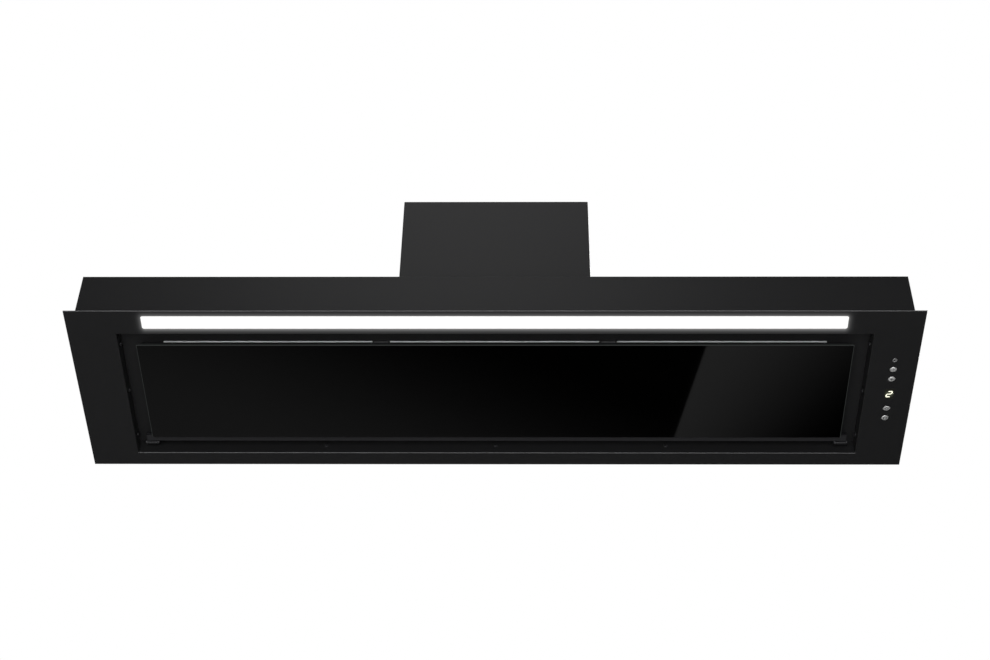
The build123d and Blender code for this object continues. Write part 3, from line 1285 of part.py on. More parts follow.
def lead_clips():
    """Saddles under the body's top that hold the leads."""
    top = body_top - BODY_SHEET
    low = LEAD_HEIGHT - LEAD_RADIUS - LEAD_CLIP_MARGIN
    reach = LEAD_RADIUS + LEAD_CLIP_MARGIN
    half = LEAD_CLIP_WIDTH / 2
    places = [(x, CONTROL_LEAD_Y) for x in CONTROL_CLIP_PLACES]
    places += [(x, DRIVER_LEAD_Y) for x in DRIVER_CLIP_PLACES]
    clips = []
    for x, y in places:
        clip = block(x - half, x + half, y - reach, y + reach, low, top)
        clips.append(clip - rod_x(LEAD_RADIUS + LEAD_FIT, x - half - 1, x + half + 1, y, LEAD_HEIGHT))
    return group(clips)


def screw_group(places, length):
    return [placed(pan_screw(length), origin, direction) for origin, direction in places]


os.makedirs("parts", exist_ok=True)

save(face_plate(), "face_plate")
save(canopy_shell(), "canopy_shell")
save(group((end_cap(-1), end_cap(1))), "end_caps")
save(filter_deck(), "filter_deck")
save(group(screw_group(recess_screw_places(), SCREW_LENGTH)), "recess_screws")

for name, middle in filter_places().items():
    save(filter_frame(middle), "filter_frame_" + name)
    save(filter_mesh(middle), "filter_mesh_" + name)
    save(filter_latch(middle), "filter_latch_" + name)
save(group(latch_cup(middle) for middle in filter_places().values()), "latch_cups")

save(glass_pane(), "glass_pane")
save(panel_tray(), "panel_tray")
save(group(hinge_arm(x) for x in hinge_places()), "hinge_arms")
save(group(hinge_bracket(x) for x in hinge_places()), "hinge_brackets")
save(group(hinge_pin(x) for x in hinge_places()), "hinge_pins")
save(group(catch_housing(x) for x in catch_places()), "catch_housings")
save(group(block(*magnet_bounds(x)) for x in catch_places()), "catch_magnets")
save(group(strike_plate(x) for x in catch_places()), "strike_plates")

save(light_diffuser(), "light_diffuser")
save(light_channel(), "light_channel")
save(light_board(), "light_board")
clip_places = [(index - (CLIP_COUNT - 1) / 2) * CLIP_PITCH for index in range(CLIP_COUNT)]
save(group(light_clip(x) for x in clip_places), "light_clips")
save(light_driver(), "light_driver")

for name, y in button_places.items():
    save(push_button(y), name)
save(group((display_lens(), sensor_lens())), "control_lenses")
save(block(*module_bounds()), "display_module")
save(control_housing(), "control_housing")
save(control_cover(), "control_cover")
save(control_board(), "control_board")

save(motor_tower(), "motor_tower")
save(tower_lid(), "tower_lid")
chassis_places = tower_foot_places() + lid_screw_places() + collar_screw_places()
chassis_places += hinge_screw_places() + driver_screw_places()
save(group(screw_group(chassis_places, SCREW_LENGTH)), "chassis_screws")
save(duct_collar(), "duct_collar")
save(damper_flap(-1), "damper_flap_front")
save(damper_flap(1), "damper_flap_back")
save(damper_pin(), "damper_pin")
save(mains_gland(), "mains_gland")

save(scroll_half(1), "scroll_front")
save(scroll_half(-1), "scroll_back")
save(outlet_adapter(), "outlet_adapter")
save(impeller(), "impeller")
save(motor_shaft(), "motor_shaft")
save(motor_body(), "motor_body")
save(motor_bracket(), "motor_bracket")
save(rubber_bushes(), "rubber_bushes")
save(blower_rails(), "blower_rails")
save(group(blower_screws()), "blower_screws")

save(terminal_box(), "terminal_box")
save(terminal_lid(), "terminal_lid")
save(capacitor(), "capacitor")
save(wiring_leads(), "wiring_leads")
save(lead_clips(), "lead_clips")
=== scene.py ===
"""Looks of the built-in range hood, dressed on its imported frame, in metres.

The face plate's underside is z = 0. +X is the user's right, +Y is the wall, +Z is up.
"""
import bpy
import bmesh
import json
import math
from mathutils import Matrix, Vector


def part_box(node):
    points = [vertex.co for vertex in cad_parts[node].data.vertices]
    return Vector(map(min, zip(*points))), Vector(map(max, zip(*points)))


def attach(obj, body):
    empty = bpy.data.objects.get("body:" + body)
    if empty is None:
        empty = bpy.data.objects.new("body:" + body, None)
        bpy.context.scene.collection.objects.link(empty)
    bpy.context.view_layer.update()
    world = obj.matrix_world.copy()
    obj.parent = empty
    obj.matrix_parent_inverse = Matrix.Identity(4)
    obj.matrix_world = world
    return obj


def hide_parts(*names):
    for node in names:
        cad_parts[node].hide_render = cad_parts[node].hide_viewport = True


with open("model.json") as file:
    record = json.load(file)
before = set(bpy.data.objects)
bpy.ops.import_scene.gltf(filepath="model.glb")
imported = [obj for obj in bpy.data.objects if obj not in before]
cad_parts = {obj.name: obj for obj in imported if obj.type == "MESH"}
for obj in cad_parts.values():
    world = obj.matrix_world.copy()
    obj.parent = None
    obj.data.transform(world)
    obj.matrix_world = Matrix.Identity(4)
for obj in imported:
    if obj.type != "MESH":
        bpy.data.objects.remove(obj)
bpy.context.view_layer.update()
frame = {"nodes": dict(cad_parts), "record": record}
MM = 0.001

# Camera: below and in front of the hood, looking up at its underside
CAMERA_PLACE = (0.04447, -2.02998, -2.05153)
CAMERA_YAW = 1.286
CAMERA_TILT = 137.026
CAMERA_ROLL = 0.936
CAMERA_LENS = 72.887

# Studio: floor, dim front of the room, and how far the floor is lifted to white for the camera
FLOOR_HEIGHT = -2.6
FLOOR_SIZE = 40.0
ROOM_FRONT = -3.6
ROOM_HALF = 9.0
ROOM_TOP = 5.0
FLOOR_WHITE = 0.85
WORLD_LEVEL = 0.1

# Reflecting cards: outline, height, places and levels where the light starts and ends, and the way it grows
CARDS = {
    "left_card": (((-2.4, 0.2), (2.4, 0.2), (2.4, 2.6), (-2.4, 2.6)), -1.0,
                  ((0.72, 0.0), (1.3, 0.128)), (-0.5, 0.866, 0)),
    "slant_card": (((0.473, 0.6), (2.2, 0.6), (2.2, 1.6), (0.278, 1.6)), -0.99,
                   ((-1.2, 0.0), (-0.78, 0.25)), (-0.866, -0.5, 0)),
}

# Soft boxes: place, aim, size in metres and power in watts
LAMPS = {
    "back_box": ((1.3, 2.4, 2.3), (0, 0, 0.1), (1.8, 1.2), 150),
    "high_box": ((-0.18, -2.2, 3.0), (-0.05, -0.13, 0.1), (1.4, 1.2), 6),
    "key_box": ((-0.2, -2.3, -1.8), (0, 0, 0), (2.7, 1.8), 110),
}

# Light strip, and the glow on the paint beside it that is painted into the plate's coat as emission
STRIP_SPILL = 0.22
STRIP_SPILL_REACH = 3.1 * MM
STRIP_SPILL_SQUEEZE = 1.25
STRIP_HALF_LENGTH = 493.0 * MM
STRIP_HALF_WIDTH = 11.8 * MM
STRIP_CORNER = 4.5 * MM
LED_PITCH = 16.0 * MM
OPAL_LEVEL = 0.84
OPAL_RIPPLE = 0.02

# Painted highlight on the front-facing bends of the face plate and the catches and on the plate's cut front
# edge, and painted shade inside the recess
BEND_LIGHT = 0.6
CATCH_BEND_LIGHT = 0.25
EDGE_LIGHT = 0.4
PAINTED_HIGHLIGHT_TONE = "#6e6e70"
EDGE_START = 0.4 * MM
EDGE_END = 0.8 * MM
RECESS_SHADE_TONE = "#101011"
INSIDE_START = 0.8 * MM
INSIDE_END = 2.5 * MM

# Glow painted as emission on the glass's ground edges, stronger on those that face the wall
GLASS_EDGE_GLOW = 0.072
GLASS_POLISH_START = 0.8
GLASS_GLOW_FACING = (-1.25, 0.7)

# Flatness between which the tray's coat goes from its face tone to the painted shade of its walls
TRAY_UPRIGHT = (0.9, 0.2)

# Zinc crystals on the lid
SPANGLE_SIZE = 9.0 * MM

# Points of a turned shape that lie nearer than this are one point
MERGE_REACH = 0.001 * MM

# Round push buttons
BUTTON_RADIUS = 5.0 * MM
BUTTON_RIM = 1.1 * MM
BUTTON_KNEE_INSET = 0.2
BUTTON_KNEE_RISE = 0.7
BUTTON_DOME = 0.2 * MM
BUTTON_DOME_STEPS = 6
BUTTON_CAP_HEIGHT = 1.3 * MM
BUTTON_FLANGE_RADIUS = 6.2 * MM
BUTTON_FLANGE_TOP = 2.3 * MM
BUTTON_STEM_RADIUS = 2.5 * MM
BUTTON_STEM_TOP = 7.2 * MM
MARK_STROKE = 1.0 * MM
MARK_REACH = 2.2 * MM
MARK_RELIEF = 0.02 * MM
MARK_RAYS = 8
MARK_RAY_START = 0.62
MARK_RAY_END = 1.15
MARK_ARC_GAP = 40
MARK_BAR_START = 0.2

# Display window and its seven-segment digit
WINDOW_RECESS = 0.2 * MM
DIGIT_HEIGHT = 12.6 * MM
DIGIT_WIDTH = 8.4 * MM
DIGIT_STROKE = 1.9 * MM
DIGIT_GAP = 0.15 * MM
DIGIT_SLANT = 13.0
DIGIT_LIT = "abged"
DIGIT_DEPTH = 0.12 * MM
DIGIT_LEVELS = (0.42, 0.54)
WINDOW_GLOW_REACH = (4.0 * MM, 10.0 * MM)
WINDOW_GLOW_LEVELS = (0.11, 0.008)
WINDOW_THICKNESS = 1.2 * MM
WINDOW_SHOULDER = 1.2 * MM
WINDOW_FIT = 0.1 * MM
SENSOR_RADIUS = 3.7 * MM
SENSOR_BEZEL = 2.2 * MM
SENSOR_SINK = 0.45 * MM

# Heights of the sensor's pane and ring, at shares of their own widths
SENSOR_PANE = ((0, 0.3 * MM), (0.5, 0.34 * MM), (1, 0.5 * MM))
SENSOR_RING = ((0, SENSOR_SINK), (0.3, 0.1 * MM), (0.6, 0), (0.85, 0.15 * MM), (1, SENSOR_SINK))


def linear(colour):
    """An sRGB hex colour as linear light."""
    levels = [int(colour[place:place + 2], 16) / 255 for place in (1, 3, 5)]
    shades = [level / 12.92 if level <= 0.04045 else ((level + 0.055) / 1.055) ** 2.4 for level in levels]
    return shades + [1.0]


def add_node(tree, kind, settings=None, values=None, links=None):
    """Adds a node, sets its options and its sockets, and links other sockets to it."""
    node = tree.nodes.new(kind)
    for name, value in (settings or {}).items():
        setattr(node, name, value)
    for name, value in (values or {}).items():
        node.inputs[name].default_value = value
    for name, socket in (links or {}).items():
        tree.links.new(socket, node.inputs[name])
    return node


def new_material(name, colour, **sockets):
    """A Principled material with its plain sockets set, and its tree and shader."""
    material = bpy.data.materials.new(name)
    material.use_nodes = True
    tree = material.node_tree
    shader = tree.nodes["Principled BSDF"]
    shader.inputs["Base Color"].default_value = linear(colour)
    for socket, value in sockets.items():
        shader.inputs[socket.replace("_", " ").title().replace("Ior", "IOR")].default_value = value
    return material, tree, shader


def grain(tree, shader, size, depth, dark, light, smooth, rough, stretch=(1, 1, 1)):
    """Grain of one size in millimetres: relief, two shades of colour and two of roughness."""
    place = add_node(tree, "ShaderNodeTexCoord").outputs["Object"]
    place = add_node(tree, "ShaderNodeMapping", values={"Scale": stretch}, links={"Vector": place})
    noise = add_node(tree, "ShaderNodeTexNoise", values={"Scale": 1 / (size * MM), "Detail": 3.0},
                     links={"Vector": place.outputs["Vector"]})
    level = noise.outputs["Fac"]
    shade = add_node(tree, "ShaderNodeMix", {"data_type": "RGBA"})
    shade.inputs[6].default_value = linear(dark)
    shade.inputs[7].default_value = linear(light)
    tree.links.new(level, shade.inputs[0])
    tree.links.new(shade.outputs[2], shader.inputs["Base Color"])
    spread = add_node(tree, "ShaderNodeMapRange", values={"To Min": smooth, "To Max": rough},
                      links={"Value": level})
    tree.links.new(spread.outputs["Result"], shader.inputs["Roughness"])
    bump = add_node(tree, "ShaderNodeBump", values={"Strength": 1.0, "Distance": depth * MM},
                    links={"Height": level})
    tree.links.new(bump.outputs["Normal"], shader.inputs["Normal"])


def powder_coat(name, dark, light, smooth, rough, sheen):
    """Baked polyester powder coat: satin black with a fine orange-peel grain."""
    material, tree, shader = new_material(name, dark, ior=1.5, specular_ior_level=sheen)
    grain(tree, shader, 1.2, 0.012, dark, light, smooth, rough)
    return material


def surface_facing(tree):
    """The parts of the surface's own direction, and how flat it lies: 1 facing up or down, 0 upright."""
    facing = add_node(tree, "ShaderNodeTexCoord").outputs["Normal"]
    facing = add_node(tree, "ShaderNodeSeparateXYZ", links={"Vector": facing})
    flat = add_node(tree, "ShaderNodeMath", {"operation": "ABSOLUTE"}, links={0: facing.outputs["Z"]})
    return facing, flat


def front_bend(tree, strength):
    """How far a surface is a bend between facing the front and facing down, where a painted highlight goes.
    """
    facing, flat = surface_facing(tree)
    front = add_node(tree, "ShaderNodeMath", {"operation": "MULTIPLY"}, {1: -strength},
                     {0: facing.outputs["Y"]})
    front = add_node(tree, "ShaderNodeMath", {"operation": "MAXIMUM"}, {1: 0.0}, {0: front.outputs[0]})
    return add_node(tree, "ShaderNodeMath", {"operation": "MULTIPLY"},
                    links={0: flat.outputs[0], 1: front.outputs[0]})


def toned(material, tone, share):
    """Mixes a second tone into a material's colour by the share that a node gives."""
    tree = material.node_tree
    shader = tree.nodes["Principled BSDF"]
    mix = add_node(tree, "ShaderNodeMix", {"data_type": "RGBA"})
    mix.inputs[7].default_value = linear(tone)
    tree.links.new(share.outputs[0], mix.inputs[0])
    tree.links.new(shader.inputs["Base Color"].links[0].from_socket, mix.inputs[6])
    tree.links.new(mix.outputs[2], shader.inputs["Base Color"])
    return material


def tray_coat():
    """The tray's powder coat, with painted shade that makes the folded walls nearly black."""
    material = powder_coat("powder_coated_tray", "#1c1c1e", "#222224", 0.5, 0.6, 0.3)
    facing, flat = surface_facing(material.node_tree)
    # Painted shade: the upright walls take the near-black tone
    upright = add_node(material.node_tree, "ShaderNodeMapRange",
                       values={"From Min": TRAY_UPRIGHT[0], "From Max": TRAY_UPRIGHT[1]},
                       links={"Value": flat.outputs[0]})
    return toned(material, "#08080a", upright)


def catch_plastic():
    """Black acetal of the catches, with a little painted highlight on their lower front edge."""
    material = moulding("moulded_acetal", "#070707", "#0b0b0b", 0.5, 0.6)
    return toned(material, PAINTED_HIGHLIGHT_TONE, front_bend(material.node_tree, CATCH_BEND_LIGHT))


def strip_spill(tree, place):
    """How much of the light strip's glow, painted on the plate as emission, reaches a place on it, from 1 at
    its edge to 0.
    """
    low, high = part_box("light_diffuser")
    middle = (low.y + high.y) / 2
    offsets = []
    for axis, centre, half, squeeze in (("X", 0, STRIP_HALF_LENGTH, STRIP_SPILL_SQUEEZE),
                                        ("Y", middle, STRIP_HALF_WIDTH, 1.0)):
        shift = add_node(tree, "ShaderNodeMath", {"operation": "SUBTRACT"}, {1: centre},
                         {0: place.outputs[axis]})
        size = add_node(tree, "ShaderNodeMath", {"operation": "ABSOLUTE"}, links={0: shift.outputs[0]})
        past = add_node(tree, "ShaderNodeMath", {"operation": "SUBTRACT"}, {1: half - STRIP_CORNER},
                        {0: size.outputs[0]})
        past = add_node(tree, "ShaderNodeMath", {"operation": "MAXIMUM"}, {1: 0.0}, {0: past.outputs[0]})
        past = add_node(tree, "ShaderNodeMath", {"operation": "MULTIPLY"}, {1: squeeze},
                        {0: past.outputs[0]})
        offsets.append(past.outputs[0])
    reach = add_node(tree, "ShaderNodeCombineXYZ", links={"X": offsets[0], "Y": offsets[1]})
    reach = add_node(tree, "ShaderNodeVectorMath", {"operation": "LENGTH"}, links={0: reach.outputs[0]})
    reach = add_node(tree, "ShaderNodeMath", {"operation": "SUBTRACT"}, {1: STRIP_CORNER},
                     {0: reach.outputs["Value"]})
    reach = add_node(tree, "ShaderNodeMath", {"operation": "MAXIMUM"}, {1: 0.0}, {0: reach.outputs[0]})
    fall = add_node(tree, "ShaderNodeMath", {"operation": "MULTIPLY"}, {1: -1 / STRIP_SPILL_REACH},
                    {0: reach.outputs[0]})
    fall = add_node(tree, "ShaderNodeMath", {"operation": "EXPONENT"}, links={0: fall.outputs[0]})
    return add_node(tree, "ShaderNodeMath", {"operation": "MULTIPLY"}, {1: STRIP_SPILL},
                    {0: fall.outputs[0]})


def face_plate_coat():
    """The plate's powder coat. It carries a painted highlight, in a greyer tone, on the front-facing bends
    and the cut front edge, painted shade inside the recess, and the lit strip's glow painted as emission."""
    material, tree, shader = new_material("powder_coated_face_plate", "#161617", ior=1.5,
                                          specular_ior_level=0.36)
    grain(tree, shader, 1.2, 0.012, "#111112", "#161617", 0.42, 0.5)
    place = add_node(tree, "ShaderNodeTexCoord").outputs["Object"]
    place = add_node(tree, "ShaderNodeSeparateXYZ", links={"Vector": place})
    # Painted shade inside the recess, growing from 0.8 mm to 2.5 mm above the face
    inside = add_node(tree, "ShaderNodeMapRange", values={"From Min": INSIDE_START, "From Max": INSIDE_END},
                      links={"Value": place.outputs["Z"]})
    toned(material, RECESS_SHADE_TONE, inside)
    # Painted highlight on the front-facing bends and along the cut front edge
    bend = front_bend(tree, BEND_LIGHT)
    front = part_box("face_plate")[0].y
    edge = add_node(tree, "ShaderNodeMapRange",
                    values={"From Min": front + EDGE_END, "From Max": front + EDGE_START,
                            "To Max": EDGE_LIGHT},
                    links={"Value": place.outputs["Y"]})
    lit = add_node(tree, "ShaderNodeMath", {"operation": "MAXIMUM"},
                   links={0: bend.outputs[0], 1: edge.outputs[0]})
    toned(material, PAINTED_HIGHLIGHT_TONE, lit)
    # The strip's glow on the paint, painted as emission
    tree.links.new(strip_spill(tree, place).outputs[0], shader.inputs["Emission Strength"])
    shader.inputs["Emission Color"].default_value = linear("#ffffff")
    return material


def printed_glass():
    """Float glass with black enamel fired on its back: black and polished, with matt ground edges that carry
    a faint glow painted as emission."""
    material, tree, shader = new_material("back_enamelled_glass", "#010101", ior=1.52)
    facing, flat = surface_facing(tree)
    shade = add_node(tree, "ShaderNodeMix", {"data_type": "RGBA"})
    shade.inputs[6].default_value = linear("#0d0e0e")
    shade.inputs[7].default_value = linear("#010101")
    polish = add_node(tree, "ShaderNodeMapRange", values={"From Min": GLASS_POLISH_START},
                      links={"Value": flat.outputs[0]})
    tree.links.new(polish.outputs["Result"], shade.inputs[0])
    tree.links.new(shade.outputs[2], shader.inputs["Base Color"])
    shader.inputs["Emission Color"].default_value = linear("#f4fffa")
    for socket, edge, face in (("Roughness", 0.55, 0.03), ("Specular IOR Level", 0.06, 0.5)):
        level = add_node(tree, "ShaderNodeMapRange", values={"To Min": edge, "To Max": face},
                         links={"Value": polish.outputs["Result"]})
        tree.links.new(level.outputs["Result"], shader.inputs[socket])
    # Painted glow on the ground edges, stronger on those that face the wall
    back = add_node(tree, "ShaderNodeMapRange",
                    values={"From Min": GLASS_GLOW_FACING[0], "From Max": GLASS_GLOW_FACING[1],
                            "To Max": GLASS_EDGE_GLOW},
                    links={"Value": facing.outputs["Y"]})
    glow = add_node(tree, "ShaderNodeMapRange", values={"To Max": 0.0},
                    links={"Value": polish.outputs["Result"], "To Min": back.outputs["Result"]})
    tree.links.new(glow.outputs["Result"], shader.inputs["Emission Strength"])
    return material


def metal(name, dark, light, size, depth, smooth, rough, stretch=(1, 1, 1), metallic=1.0):
    """Bare or plated metal, with its rolling, brushing or plating marks as grain. A lacquer full of metal
    flakes is a little less metallic."""
    material, tree, shader = new_material(name, light, metallic=metallic)
    grain(tree, shader, size, depth, dark, light, smooth, rough, stretch)
    return material


def moulding(name, dark, light, smooth, rough, size=0.8, depth=0.01):
    """Moulded plastic with the fine spark-eroded grain of its tool."""
    material, tree, shader = new_material(name, dark, ior=1.48)
    grain(tree, shader, size, depth, dark, light, smooth, rough)
    return material


def spangled_zinc():
    """Hot-dip galvanised sheet: zinc crystals a few millimetres wide, each a little brighter or darker."""
    material, tree, shader = new_material("galvanised_sheet", "#9a9da1", metallic=1.0, roughness=0.4)
    place = add_node(tree, "ShaderNodeTexCoord").outputs["Object"]
    cells = add_node(tree, "ShaderNodeTexVoronoi", values={"Scale": 1 / SPANGLE_SIZE},
                     links={"Vector": place})
    level = add_node(tree, "ShaderNodeSeparateColor", links={"Color": cells.outputs["Color"]}).outputs["Red"]
    shade = add_node(tree, "ShaderNodeMix", {"data_type": "RGBA"})
    shade.inputs[6].default_value = linear("#868a8f")
    shade.inputs[7].default_value = linear("#b1b4b8")
    tree.links.new(level, shade.inputs[0])
    tree.links.new(shade.outputs[2], shader.inputs["Base Color"])
    rough = add_node(tree, "ShaderNodeMapRange", values={"To Min": 0.3, "To Max": 0.5},
                     links={"Value": level})
    tree.links.new(rough.outputs["Result"], shader.inputs["Roughness"])
    return material


def lit_opal():
    """Opal acrylic lit by a row of LEDs: white, a trace brighter over each one."""
    material, tree, shader = new_material("lit_opal_acrylic", "#7d7d79", ior=1.49, roughness=0.35)
    place = add_node(tree, "ShaderNodeTexCoord").outputs["Object"]
    along = add_node(tree, "ShaderNodeSeparateXYZ", links={"Vector": place}).outputs["X"]
    wave = add_node(tree, "ShaderNodeMath", {"operation": "MULTIPLY"}, {1: 2 * math.pi / LED_PITCH},
                    {0: along})
    wave = add_node(tree, "ShaderNodeMath", {"operation": "COSINE"}, links={0: wave.outputs[0]})
    level = add_node(tree, "ShaderNodeMath", {"operation": "MULTIPLY_ADD"},
                     {1: OPAL_RIPPLE, 2: OPAL_LEVEL}, {0: wave.outputs[0]})
    tree.links.new(level.outputs[0], shader.inputs["Emission Strength"])
    shader.inputs["Emission Color"].default_value = linear("#ffffff")
    return material


def glowing_window():
    """Smoked acrylic over the lit display, with a little glow round the digit painted into it as emission."""
    material, tree, shader = new_material("glowing_smoked_acrylic", "#141412", ior=1.49, roughness=0.15)
    low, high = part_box("display_module")
    place = add_node(tree, "ShaderNodeTexCoord").outputs["Object"]
    away = add_node(tree, "ShaderNodeVectorMath", {"operation": "DISTANCE"}, {1: (low + high) / 2},
                    {0: place})
    level = add_node(tree, "ShaderNodeMapRange", {"interpolation_type": "SMOOTHSTEP"},
                     {"From Min": WINDOW_GLOW_REACH[0], "From Max": WINDOW_GLOW_REACH[1],
                      "To Min": WINDOW_GLOW_LEVELS[0], "To Max": WINDOW_GLOW_LEVELS[1]},
                     {"Value": away.outputs["Value"]})
    tree.links.new(level.outputs["Result"], shader.inputs["Emission Strength"])
    shader.inputs["Emission Color"].default_value = linear("#f6ffd8")
    return material


def lit_segment():
    """Segment of the display, warm white."""
    material, tree, shader = new_material("lit_segment", "#f5f3dc", roughness=0.4)
    place = add_node(tree, "ShaderNodeTexCoord").outputs["Object"]
    noise = add_node(tree, "ShaderNodeTexNoise", values={"Scale": 1 / (3 * MM)}, links={"Vector": place})
    level = add_node(tree, "ShaderNodeMapRange",
                     values={"To Min": DIGIT_LEVELS[0], "To Max": DIGIT_LEVELS[1]},
                     links={"Value": noise.outputs["Fac"]})
    tree.links.new(level.outputs["Result"], shader.inputs["Emission Strength"])
    shader.inputs["Emission Color"].default_value = linear("#fbfce6")
    return material


materials = {
    # Satin black coats on sheet steel, with a soft sheen
    "black_plate": face_plate_coat(),
    "black_body": powder_coat("powder_coated_body", "#111112", "#151516", 0.34, 0.42, 0.4),
    "black_tray": tray_coat(),
    # Dull black plating that lets the screw heads show as faint rings
    "black_screw": metal("black_zinc", "#1b1b1d", "#252527", 0.5, 0.005, 0.55, 0.65, metallic=0.7),
    # Deep gloss black that mirrors the room
    "black_glass": printed_glass(),
    # Dark steel with a trace of metal on its edges
    "hinge_steel": metal("black_passivated_steel", "#151517", "#1f1f22", 0.6, 0.006, 0.45, 0.6,
                         metallic=0.5),
    # Dull black of the moulded boxes
    "black_plastic": moulding("moulded_black_abs", "#0e0e0e", "#131313", 0.5, 0.62),
    # Warm grey shine of plated magnets
    "magnet": metal("nickel_plate", "#a9a7a2", "#c4c2bc", 0.7, 0.003, 0.2, 0.3),
    # Patchwork of grey crystals on the lid
    "zinc_steel": spangled_zinc(),
    # White band of light
    "opal_plastic": lit_opal(),
    # Long fine lines of the press along a bright grey channel
    "channel_aluminium": metal("extruded_aluminium", "#b9bbbe", "#cfd1d3", 0.4, 0.004, 0.3, 0.42,
                               (0.02, 1, 1)),
    # Even satin white that throws the light back
    "white_board": moulding("white_solder_mask", "#d9dcd6", "#e6e8e2", 0.4, 0.5, 0.5, 0.004),
    "white_plastic": moulding("moulded_white_abs", "#cfcfca", "#dadad5", 0.45, 0.58),
    # Nearly black window that shows only what is lit behind it
    "dark_lens": moulding("smoked_acrylic", "#0c0c0d", "#0e0e0f", 0.05, 0.08, 0.6, 0.001),
    # Glossy dark green of a lacquered board
    "green_board": moulding("green_solder_mask", "#123f26", "#1a5232", 0.3, 0.42, 0.5, 0.004),
    # Bluish silver screw heads
    "steel_screw": metal("bright_zinc_plate", "#a4a7ab", "#bfc2c6", 0.5, 0.004, 0.25, 0.38),
    # Mid grey, soft in shine
    "grey_plastic": moulding("moulded_grey_nylon", "#444548", "#505155", 0.48, 0.6),
    # Grinding rings round a bright shaft
    "steel_shaft": metal("ground_steel", "#a8a9ab", "#bcbdbf", 0.3, 0.003, 0.18, 0.28, (1, 0.02, 1)),
    # Dull dark housings of the blower, and its greyer fibre-filled wheel
    "blower_plastic": moulding("moulded_black_polypropylene", "#18181a", "#1f1f21", 0.5, 0.62),
    "impeller_plastic": moulding("glass_filled_nylon", "#2e2f31", "#3a3b3e", 0.5, 0.65, 0.5, 0.012),
    # Matt black with hardly any shine
    "black_rubber": moulding("moulded_nitrile_rubber", "#121212", "#191919", 0.7, 0.85),
    # Off-white can, a little glossy
    "capacitor_case": moulding("moulded_capacitor_can", "#c7c7c2", "#d3d3ce", 0.3, 0.4),
    # Smooth black sheath with a soft highlight along it
    "lead_sheath": moulding("extruded_pvc_sheath", "#131314", "#1a1a1b", 0.45, 0.6),
    # Pale matt frame whose oxide scatters the light along its length
    "filter_aluminium": metal("anodised_aluminium", "#e0e2e4", "#eceeef", 0.35, 0.004, 0.6, 0.7,
                              (0.03, 1, 1), 0.5),
    # Grey glints of the stretched strands
    "filter_mesh": metal("expanded_aluminium", "#8e9195", "#b3b6ba", 0.6, 0.006, 0.3, 0.45),
    # Brushed lines across a warm grey tongue
    "latch_steel": metal("brushed_stainless", "#9b9a98", "#bbbab8", 0.3, 0.004, 0.25, 0.38, (0.03, 1, 1)),
    # Fine silver that stands out from the black plate
    "button_metal": metal("silver_lacquer", "#d8d8d8", "#e6e6e6", 0.4, 0.003, 0.5, 0.58, metallic=0.8),
}
# A greyer, duller coat than the plate's, seen through the slots
deck_coat = powder_coat("powder_coated_deck", "#151516", "#1a1a1b", 0.5, 0.6, 0.28)
catch_coat = catch_plastic()
# Dark grey lines that are just legible on the silver caps
etched_mark = moulding("etched_button_mark", "#3a3a3c", "#444446", 0.5, 0.6)
# A dimmer ring than the buttons, with a soft glint
bezel_metal = metal("smoked_nickel_bezel", "#8a8a8b", "#a2a2a3", 0.4, 0.003, 0.5, 0.6, metallic=0.85)
window_glow = glowing_window()
segment_light = lit_segment()

own_coats = {"filter_deck": deck_coat, "catch_housings": catch_coat}
node_slots = {part["node"]: part["material_slot"] for part in frame["record"]["subparts"]}
for node, slot in node_slots.items():
    mesh = frame["nodes"][node].data
    mesh.materials.clear()
    mesh.materials.append(own_coats.get(node, materials[slot]))


def finish_piece(name, shape, coats, body, replaced=()):
    """Turns a bmesh into a piece of the hood: its coats, the body that it rides on, what it stands for."""
    mesh = bpy.data.meshes.new(name)
    shape.to_mesh(mesh)
    shape.free()
    for coat in coats:
        mesh.materials.append(coat)
    piece = bpy.data.objects.new(name, mesh)
    bpy.context.scene.collection.objects.link(piece)
    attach(piece, body)
    if replaced:
        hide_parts(*replaced)
    return piece


def points_of(faces):
    """The points of some faces, each once and in their order."""
    return list(dict.fromkeys(vert for face in faces for vert in face.verts))


def turned(shape, profile, centre, steps=48, coat=0):
    """Adds a solid turned round Z from a profile of radius and height, closed or ending on the axis. It is
    turned at the origin and then moved, so that its poles meet exactly."""
    corners = [shape.verts.new((radius, 0, height)) for radius, height in profile]
    edges = [shape.edges.new(pair) for pair in zip(corners, corners[1:])]
    before = set(shape.faces)
    bmesh.ops.spin(shape, geom=corners + edges, cent=(0, 0, 0), axis=(0, 0, 1), angle=2 * math.pi,
                   steps=steps, use_merge=True)
    made = [face for face in shape.faces if face not in before]
    bmesh.ops.remove_doubles(shape, verts=points_of(made), dist=MERGE_REACH)
    made = [face for face in shape.faces if face not in before]
    bmesh.ops.translate(shape, vec=(centre[0], centre[1], 0), verts=points_of(made))
    bmesh.ops.recalc_face_normals(shape, faces=made)
    for face in made:
        face.material_index = coat
        face.smooth = True


def raised(shape, corners, low, high, coat=0):
    """Adds a flat plate with the given outline, from one height to another."""
    bottom = [shape.verts.new((x, y, low)) for x, y in corners]
    face = shape.faces.new(bottom)
    top = bmesh.ops.extrude_face_region(shape, geom=[face])["geom"]
    lifted = [item for item in top if isinstance(item, bmesh.types.BMVert)]
    bmesh.ops.translate(shape, vec=(0, 0, high - low), verts=lifted)
    around = [linked for vert in bottom for linked in vert.link_faces]
    made = list(dict.fromkeys(around + [item for item in top if isinstance(item, bmesh.types.BMFace)]))
    for item in made:
        item.material_index = coat
    bmesh.ops.recalc_face_normals(shape, faces=made)


